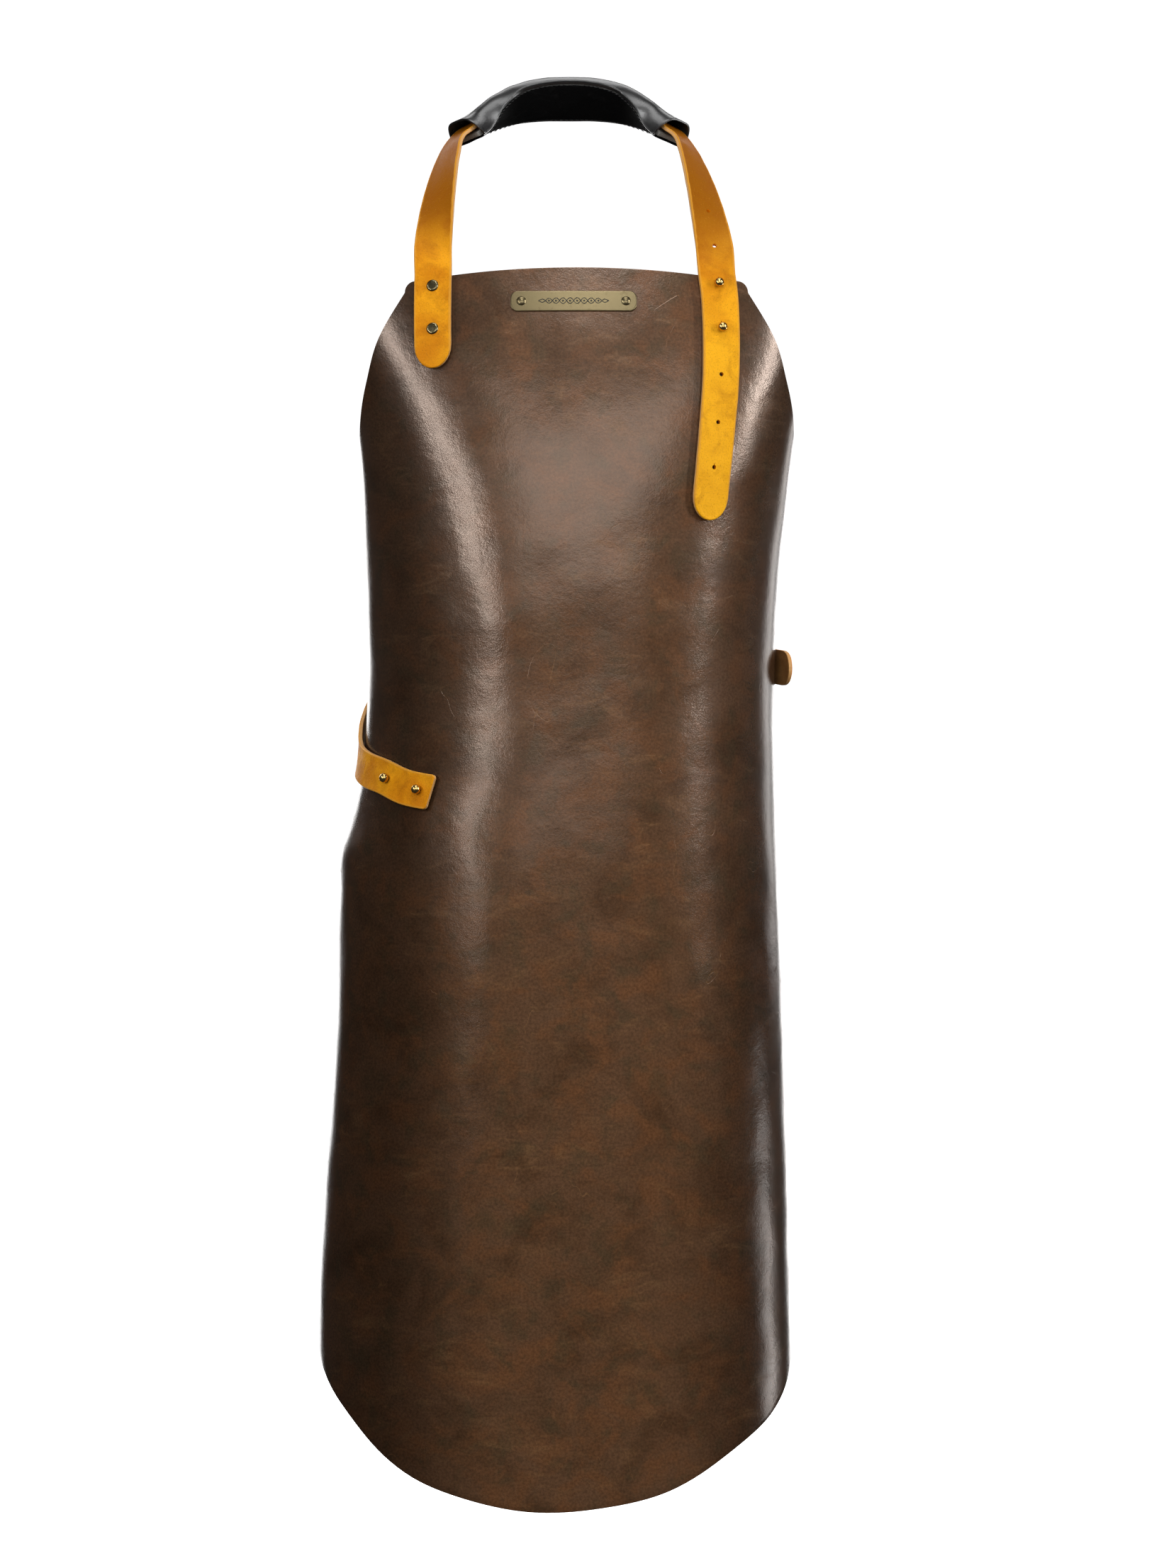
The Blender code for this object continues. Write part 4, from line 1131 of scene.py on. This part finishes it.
def arc(centre, radius, start, stop, steps):
    """Points of a turned profile round a ball: radius and height, by angle above the level."""
    return [
        (max(radius * math.cos(math.radians(a)), 0.0), centre + radius * math.sin(math.radians(a)))
        for a in np.linspace(start, stop, steps)
    ]


BALL_FOOT_ANGLE = -52
BALL_STANDS = 0.80
FLANGE_CHAMFER = 0.0002
NECK_OVERLAP = 0.0004


def ball_stud(node, frame_at, strap_top):
    """A ball-headed stud: its head stands on the strap, and its foot on the panel."""
    low = strap_top + TOUCH_GAP
    middle = low + BALL_RADIUS * BALL_STANDS
    profile = arc(middle, BALL_RADIUS, 90, BALL_FOOT_ANGLE, 18)
    profile += [
        (STUD_NECK_RADIUS, low - NECK_OVERLAP),
        (STUD_NECK_RADIUS, TOUCH_GAP + FLANGE_THICK),
        (FLANGE_RADIUS - FLANGE_CHAMFER, TOUCH_GAP + FLANGE_THICK),
        (FLANGE_RADIUS, TOUCH_GAP + FLANGE_THICK - FLANGE_CHAMFER),
        (FLANGE_RADIUS, TOUCH_GAP),
        (0.0, TOUCH_GAP),
    ]
    return turned(f"{node}_head", profile, frame_at, STUD_BRASS)


# A rivet cap with a flat middle and a sloping rim: shares of its radius and of its height.
CAP_SHAPE = (
    (0.0, 1.0), (0.60, 1.0), (0.72, 0.97), (0.80, 0.88), (0.92, 0.60), (0.98, 0.36), (1.0, 0.18),
    (0.98, 0.0), (0.0, 0.0),
)
SUNK = 0.0002
DOME_HEIGHT = CAP_HEIGHT * 1.1


def flat_cap(node, frame_at, top):
    low = top - SUNK
    profile = [(CAP_RADIUS * radius, low + CAP_HEIGHT * height) for radius, height in CAP_SHAPE]
    return turned(f"{node}_cap", profile, frame_at, CAP_BRASS)


def domed_cap(node, frame_at, top):
    """A small rivet with a round top."""
    sphere = (SMALL_CAP_RADIUS**2 + DOME_HEIGHT**2) / (2 * DOME_HEIGHT)
    widest = math.degrees(math.acos(SMALL_CAP_RADIUS / sphere))
    profile = arc(top + DOME_HEIGHT - sphere, sphere, 90, widest, 10)
    profile += [(SMALL_CAP_RADIUS, top - SUNK), (0.0, top - SUNK)]
    return turned(f"{node}_dome", profile, frame_at, PLATE_BRASS)


# The outer side of a back cap: shares of its radius, and how far above its lowest face.
BACK_CAP_SHAPE = ((1.0, 0.0009), (0.95, 0.0005), (0.82, 0.0002), (0.60, 0.0), (0.0, 0.0))
BACK_CAP_LOW = -PANEL_THICK - BACK_GAP - 0.0011
SCREW_SLOT = (0.0011, 0.012, 0.0012)


def back_cap(node, frame_at, material):
    """The fastener's other half, on the flesh side."""
    face = -PANEL_THICK
    profile = [(0.0, face + SUNK), (BACK_CAP_RADIUS, face + SUNK)]
    profile += [(BACK_CAP_RADIUS * radius, BACK_CAP_LOW + rise) for radius, rise in BACK_CAP_SHAPE]
    return turned(f"{node}_disc", profile, frame_at, material)


def fastener_frames():
    frames = {}
    groups = (("neck_rivet", NECK_RIVETS), ("neck_stud", NECK_STUDS), ("plate_rivet", PLATE_RIVETS))
    for kind, spots in groups:
        for key, (down, across) in spots.items():
            frames[kind, key] = panel_frame(across, down)
    for kind, turns in (("belt_stud", BELT_STUD_TURNS), ("belt_rivet", BELT_RIVET_TURNS)):
        for key, degrees in turns.items():
            down = BIB_PLACE[2] - BELT.at(belt_length(degrees))[0][2]
            turn = math.radians(degrees)
            frames[kind, key] = turned_frame(form_face(turn, down), form_normal(turn, down))
    return frames


def make_fasteners(frames):
    strap_top = STRAP_LIFT + STRAP_THICK
    for (kind, key), at in frames.items():
        node = f"{kind}_{key}"
        if kind.endswith("stud"):
            back_node = f"{kind}_screw_{key}"
            front = ball_stud(node, at, strap_top)
            slot = box_cutter(at, SCREW_SLOT, (0, 0, BACK_CAP_LOW))
            back = cut(back_cap(back_node, at, STEEL), [slot])
        else:
            back_node = f"{kind}_back_{key}"
            back = back_cap(back_node, at, STUD_BRASS)
            if kind == "plate_rivet":
                front = domed_cap(node, at, TOUCH_GAP + PLATE_THICK)
            else:
                front = flat_cap(node, at, strap_top)
        for piece, stood_for in ((front, node), (back, back_node)):
            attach(piece, "bib")
            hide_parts(stood_for)


# ---- The name plate, with a plain ornament and no name ----

PLATE_EDGE_RADIUS = 0.0006


def plate_place(x, z, lift):
    down, across = PLATE_MIDDLE
    return panel_point(across + np.asarray(x, float), down - np.asarray(z, float), lift)


def make_plate():
    """A thin brass plate with round corners, bent to the bib."""
    corner = PLATE_CORNER * (1 - np.cos(np.radians(np.linspace(0, 90, 14))))
    ends = PLATE_HALF_LENGTH - corner
    inner = np.linspace(0, ends[-1], 20)[:-1]
    half = np.sort(np.concatenate((ends, inner[1:])))
    columns = mirrored(np.concatenate(([0.0], half)))
    near = 1 - EDGE_ROWS[::-1] / PLATE_HALF_HEIGHT
    levels = mirrored(np.concatenate((np.linspace(0, near[0], 5)[:-1], near)))
    laid = {}

    def place(f, g):
        x = station(columns, (f + 1) / 2)
        past = np.maximum(np.abs(x) - (PLATE_HALF_LENGTH - PLATE_CORNER), 0.0)
        tall = PLATE_HALF_HEIGHT - PLATE_CORNER + np.sqrt(np.maximum(PLATE_CORNER**2 - past**2, 0.0))
        z = -station(levels, g) * tall
        past_z = np.abs(z) - (PLATE_HALF_HEIGHT - PLATE_CORNER)
        to_edge = np.maximum(inside_corner(past, past_z, PLATE_CORNER, PLATE_CORNER), 0.0)
        fall = edge_fall(to_edge, PLATE_EDGE_RADIUS)
        laid["outer"] = plate_place(x, z, TOUCH_GAP + PLATE_THICK - fall)
        laid["inner"] = plate_place(x, z, np.full(len(x), TOUCH_GAP))
        return laid["outer"], np.stack((x, z), axis=-1)

    plate = laid_grid("plate_brass", len(columns) - 1, len(levels) - 1, place, [PLATE_BRASS])
    thicken(plate, PLATE_THICK)
    lay_faces(plate, laid["outer"], laid["inner"])
    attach(plate, "bib")
    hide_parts("name_plate")
    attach(make_ornament(), "bib")


ORNAMENT_HALF_LENGTH = 0.0245
ORNAMENT_HEIGHT = 0.0021
ORNAMENT_WAVE = 0.0098
ORNAMENT_LINE = 0.00028
BEAD_RADIUS = 0.00042


def make_ornament():
    """Two dark strands that cross each other in a plain braid, with a bead in each loop."""
    curve = bpy.data.curves.new("plate_ornament", "CURVE")
    curve.dimensions = "3D"
    curve.bevel_depth = ORNAMENT_LINE
    curve.bevel_resolution = 2
    curve.use_fill_caps = True
    lift = TOUCH_GAP + PLATE_THICK
    xs = np.linspace(-ORNAMENT_HALF_LENGTH, ORNAMENT_HALF_LENGTH, 91)
    for side in (-1, 1):
        taper = np.sqrt(1 - (np.abs(xs) / ORNAMENT_HALF_LENGTH) ** 3)
        zs = side * ORNAMENT_HEIGHT * np.sin(xs / ORNAMENT_WAVE * 2 * math.pi) * taper
        add_line(curve, plate_place(xs, zs, np.full(len(xs), lift)))
    angles = np.linspace(0, 2 * math.pi, 13)
    for middle in np.arange(-2, 3) * ORNAMENT_WAVE + ORNAMENT_WAVE / 4:
        for shift in (0.0, ORNAMENT_WAVE / 2):
            x = middle + shift
            if abs(x) < ORNAMENT_HALF_LENGTH - ORNAMENT_WAVE / 3:
                ring_x = x + BEAD_RADIUS * np.cos(angles)
                ring_z = BEAD_RADIUS * np.sin(angles)
                add_line(curve, plate_place(ring_x, ring_z, np.full(len(angles), lift)))
    drawn = add_object("plate_ornament_line", curve)
    mesh = bpy.data.meshes.new_from_object(drawn.evaluated_get(bpy.context.evaluated_depsgraph_get()))
    bpy.data.objects.remove(drawn)
    mesh.materials.append(ENAMEL)
    mesh.shade_smooth()
    return add_object("plate_ornament", mesh)


def add_line(curve, places):
    spline = curve.splines.new("POLY")
    spline.points.add(len(places) - 1)
    for point, place in zip(spline.points, places):
        point.co = (*place, 1.0)


# ---- The neck pad ----

PAD_REACH = math.radians(PAD_HALF_ANGLE) * NECK_RADIUS
PAD_COLUMNS = 96
PAD_EDGE_RADIUS = 0.0003
FOAM_EDGE_RADIUS = 0.0008
COVER_CREASE = 0.00035
LINING_PUFF = 0.0009
LINING_NAP = 0.000125
FOAM_CROWN = 0.0004


def pad_width_factor(f):
    return 1 + PAD_END_WIDENING * np.abs(f) ** 3


def pad_band(name, rows, section, materials, thickness, columns=PAD_COLUMNS):
    """A band over the strap's middle stretch. section(f, g) gives offsets across and out of it."""

    def place(f, g):
        middle, out, across = NECK.at(PAD_MIDDLE + f * PAD_REACH)
        aside, rise = section(f, g)
        aside = aside * pad_width_factor(f)
        places = middle - across * aside[:, None] + out * rise[:, None]
        return places, np.stack((f * PAD_REACH, g * PAD_GIRTH), axis=-1)

    return thicken(laid_grid(name, columns, rows, place, materials), thickness)


def cover_section(f, g):
    """Round the pad's outer side, from one lip on the neck's side to the other."""
    angle = np.radians(COVER_LIP + (180 - 2 * COVER_LIP) * g)
    wide, high = np.cos(angle), np.sin(angle)
    aside = np.copysign(np.abs(wide) ** 0.5, wide) * PAD_HALF_WIDTH
    crown = PAD_TOP + PAD_MOUTH_FLARE * f**4 - PAD_EDGE
    under = (PAD_EDGE - PAD_BOTTOM) * -np.abs(high) ** 0.75
    rise = PAD_EDGE + np.where(high > 0, crown * high**2, under)
    crease = COVER_CREASE * waves(f * PAD_REACH, g * PAD_GIRTH, 61, 0.020, 12)
    return aside * (1 + crease * 12), rise + crease * (0.4 + 0.6 * np.maximum(high, 0))


def make_pad():
    cover = pad_band("pad_cover", 56, cover_section, [BLACK_LEATHER], PAD_COVER_THICK)
    round_cut_edges(cover, PAD_EDGE_RADIUS)

    def lining_section(f, g):
        side = 2 * g - 1
        puff = LINING_PUFF * (1 - side**4) * (1 - np.abs(f) ** 6)
        nap = LINING_NAP * waves(f * PAD_REACH, side * PAD_LINING_HALF_WIDTH, 67, 0.018, 12)
        return side * PAD_LINING_HALF_WIDTH, PAD_BOTTOM + PAD_LINING_THICK - puff + nap

    lining = pad_band("pad_lining", 26, lining_section, [SUEDE], PAD_LINING_THICK)
    round_cut_edges(lining, PAD_EDGE_RADIUS)

    def foam_section(f, g):
        side = 2 * g - 1
        return side * PAD_FOAM_HALF_WIDTH, PAD_FOAM_TOP - FOAM_CROWN * side**6

    foam = pad_band("pad_foam_core", 10, foam_section, [FOAM], PAD_FOAM_TOP - PAD_FOAM_BOTTOM, 40)
    round_cut_edges(foam, FOAM_EDGE_RADIUS)
    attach(make_stitches(), "neck_pad")
    for piece, node, slot in (
        (cover, "neck_pad_cover", "pad_leather"),
        (lining, "neck_pad_lining", "pad_lining"),
        (foam, "neck_pad_foam", "pad_foam"),
    ):
        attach(piece, "neck_pad")
        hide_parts(node)


STITCH_PITCH = 0.0038
STITCH_LENGTH = 0.0027
STITCH_RADIUS = 0.00035
STITCH_ASIDE = 0.84
STITCH_REACH = 0.94
STITCH_SUNK = 0.00012


def make_stitches():
    """A row of thread stitches along each lip of the cover, on the neck's side."""
    bm = bmesh.new()
    count = int(2 * PAD_REACH * STITCH_REACH / STITCH_PITCH)
    for side in (-1, 1):
        for index in range(count + 1):
            f = (index / count * 2 - 1) * STITCH_REACH
            middle, out, across = NECK.at(PAD_MIDDLE + f * PAD_REACH)
            aside = side * PAD_HALF_WIDTH * STITCH_ASIDE * float(pad_width_factor(f))
            place = middle - across * aside + out * (PAD_BOTTOM - STITCH_SUNK)
            at = turned_frame(place, out, np.cross(out, across))
            shape = Matrix.Diagonal((STITCH_RADIUS, STITCH_LENGTH / 2, STITCH_RADIUS * 0.8, 1))
            bmesh.ops.create_uvsphere(bm, u_segments=8, v_segments=6, radius=1, matrix=at @ shape)
    made = new_piece("pad_stitching", bm, [THREAD])
    made.data.shade_smooth()
    return made


# ---- Studio ----

CAMERA_OFFSET = (0.0081, -0.3606)
CAMERA_DISTANCE = 3.0
SENSOR_HEIGHT = 24.0
VIEW_HEIGHT = 1.0839


def look_from(made, target):
    """Points a lamp or a camera, which look along their own -Z, at a target."""
    ahead = Vector(target) - made.location
    made.rotation_euler = ahead.to_track_quat("-Z", "Y").to_euler()


def make_camera():
    data = bpy.data.cameras.new("photo_view")
    data.sensor_fit = "VERTICAL"
    data.sensor_height = SENSOR_HEIGHT
    data.lens = SENSOR_HEIGHT * CAMERA_DISTANCE / VIEW_HEIGHT
    data.clip_start = 0.1
    data.clip_end = 60
    camera = add_object("photo_view", data)
    x = BIB_PLACE[0] + CAMERA_OFFSET[0]
    z = BIB_PLACE[2] + CAMERA_OFFSET[1]
    camera.location = (x, BIB_PLACE[1] - CAMERA_DISTANCE, z)
    look_from(camera, (x, BIB_PLACE[1], z))
    bpy.context.scene.camera = camera


MIDDLE = Vector((0.0, 0.0, (CAD_BOX[0].z + CAD_BOX[1].z) / 2))


def softbox(name, azimuth, elevation, distance, size, power, lean=0.0):
    """A flat lamp. Azimuth 0 is in front of the apron, 90 to its right. Lean tips its top sideways."""
    data = bpy.data.lights.new(name, "AREA")
    data.shape = "RECTANGLE"
    data.size, data.size_y = size
    data.energy = power
    lamp = add_object(name, data)
    a, e = math.radians(azimuth), math.radians(elevation)
    away = Vector((math.sin(a) * math.cos(e), -math.cos(a) * math.cos(e), math.sin(e)))
    lamp.location = MIDDLE + away * distance
    look_from(lamp, MIDDLE)
    tipped = lamp.rotation_euler.to_matrix() @ Matrix.Rotation(math.radians(lean), 3, "Z")
    lamp.rotation_euler = tipped.to_euler()
    lamp.visible_camera = False


SWEEP_RADIUS = 5.0
SWEEP_CURVE = 1.2
SWEEP_HEIGHT = 4.0
FLOOR_BELOW = 0.34
SWEEP_GLOW = 0.95
WORLD_GLOW = 0.04


def make_sweep():
    """A pale floor that curves up into a pale wall all round."""
    floor = CAD_BOX[0].z - FLOOR_BELOW
    profile = [(0.0, floor), (SWEEP_RADIUS - SWEEP_CURVE, floor)]
    for angle in np.radians(np.linspace(10, 90, 9)):
        profile.append((
            SWEEP_RADIUS - SWEEP_CURVE + SWEEP_CURVE * math.sin(angle),
            floor + SWEEP_CURVE * (1 - math.cos(angle)),
        ))
    profile.append((SWEEP_RADIUS, floor + SWEEP_HEIGHT))
    paint = Paint("pale_floor")
    paint.set(Base_Color=(0.86, 0.86, 0.86, 1.0), Roughness=0.9, Specular_IOR_Level=0.1)
    paint.set(Emission_Color=(1.0, 1.0, 1.0, 1.0), Emission_Strength=SWEEP_GLOW)
    sweep = turned("studio_sweep", profile, Matrix.Identity(4), paint.material, steps=96)
    for ray in ("glossy", "diffuse", "shadow"):
        setattr(sweep, f"visible_{ray}", False)


def make_world():
    world = bpy.data.worlds.new("studio")
    bpy.context.scene.world = world
    world.use_nodes = True
    background = world.node_tree.nodes["Background"]
    background.inputs["Color"].default_value = (1.0, 0.99, 0.98, 1.0)
    background.inputs["Strength"].default_value = WORLD_GLOW


def make_lights():
    """The softboxes: azimuth, elevation, distance, size, power."""
    softbox("left_strip", -47, 15, 2.4, (0.17, 1.9), 21, lean=41)
    softbox("right_strip", 62, 19, 2.4, (0.22, 1.3), 28)
    softbox("front_wall", 4, 15, 2.6, (2.4, 1.0), 22)
    softbox("high_front", 4, 50, 2.6, (0.8, 0.5), 14)
    softbox("top_back", 180, 56, 2.4, (1.6, 0.8), 9)
    softbox("top_front", 0, 80, 2.0, (1.2, 0.6), 9)
    softbox("right_back", 135, 12, 2.6, (0.7, 1.4), 8)
    softbox("right_low", 108, -15, 2.6, (0.5, 0.5), 8)
    softbox("back_wall", 180, 6, 3.0, (3.2, 2.6), 90)
    softbox("back_left", -140, 25, 2.8, (1.2, 1.2), 14)
    bpy.context.scene.view_settings.view_transform = "Standard"


panel = make_panel()
FRAMES = fastener_frames()
make_neck_strap(FRAMES)
make_belt(FRAMES)
make_fasteners(FRAMES)
make_plate()
make_pad()
make_camera()
make_sweep()
make_world()
make_lights()
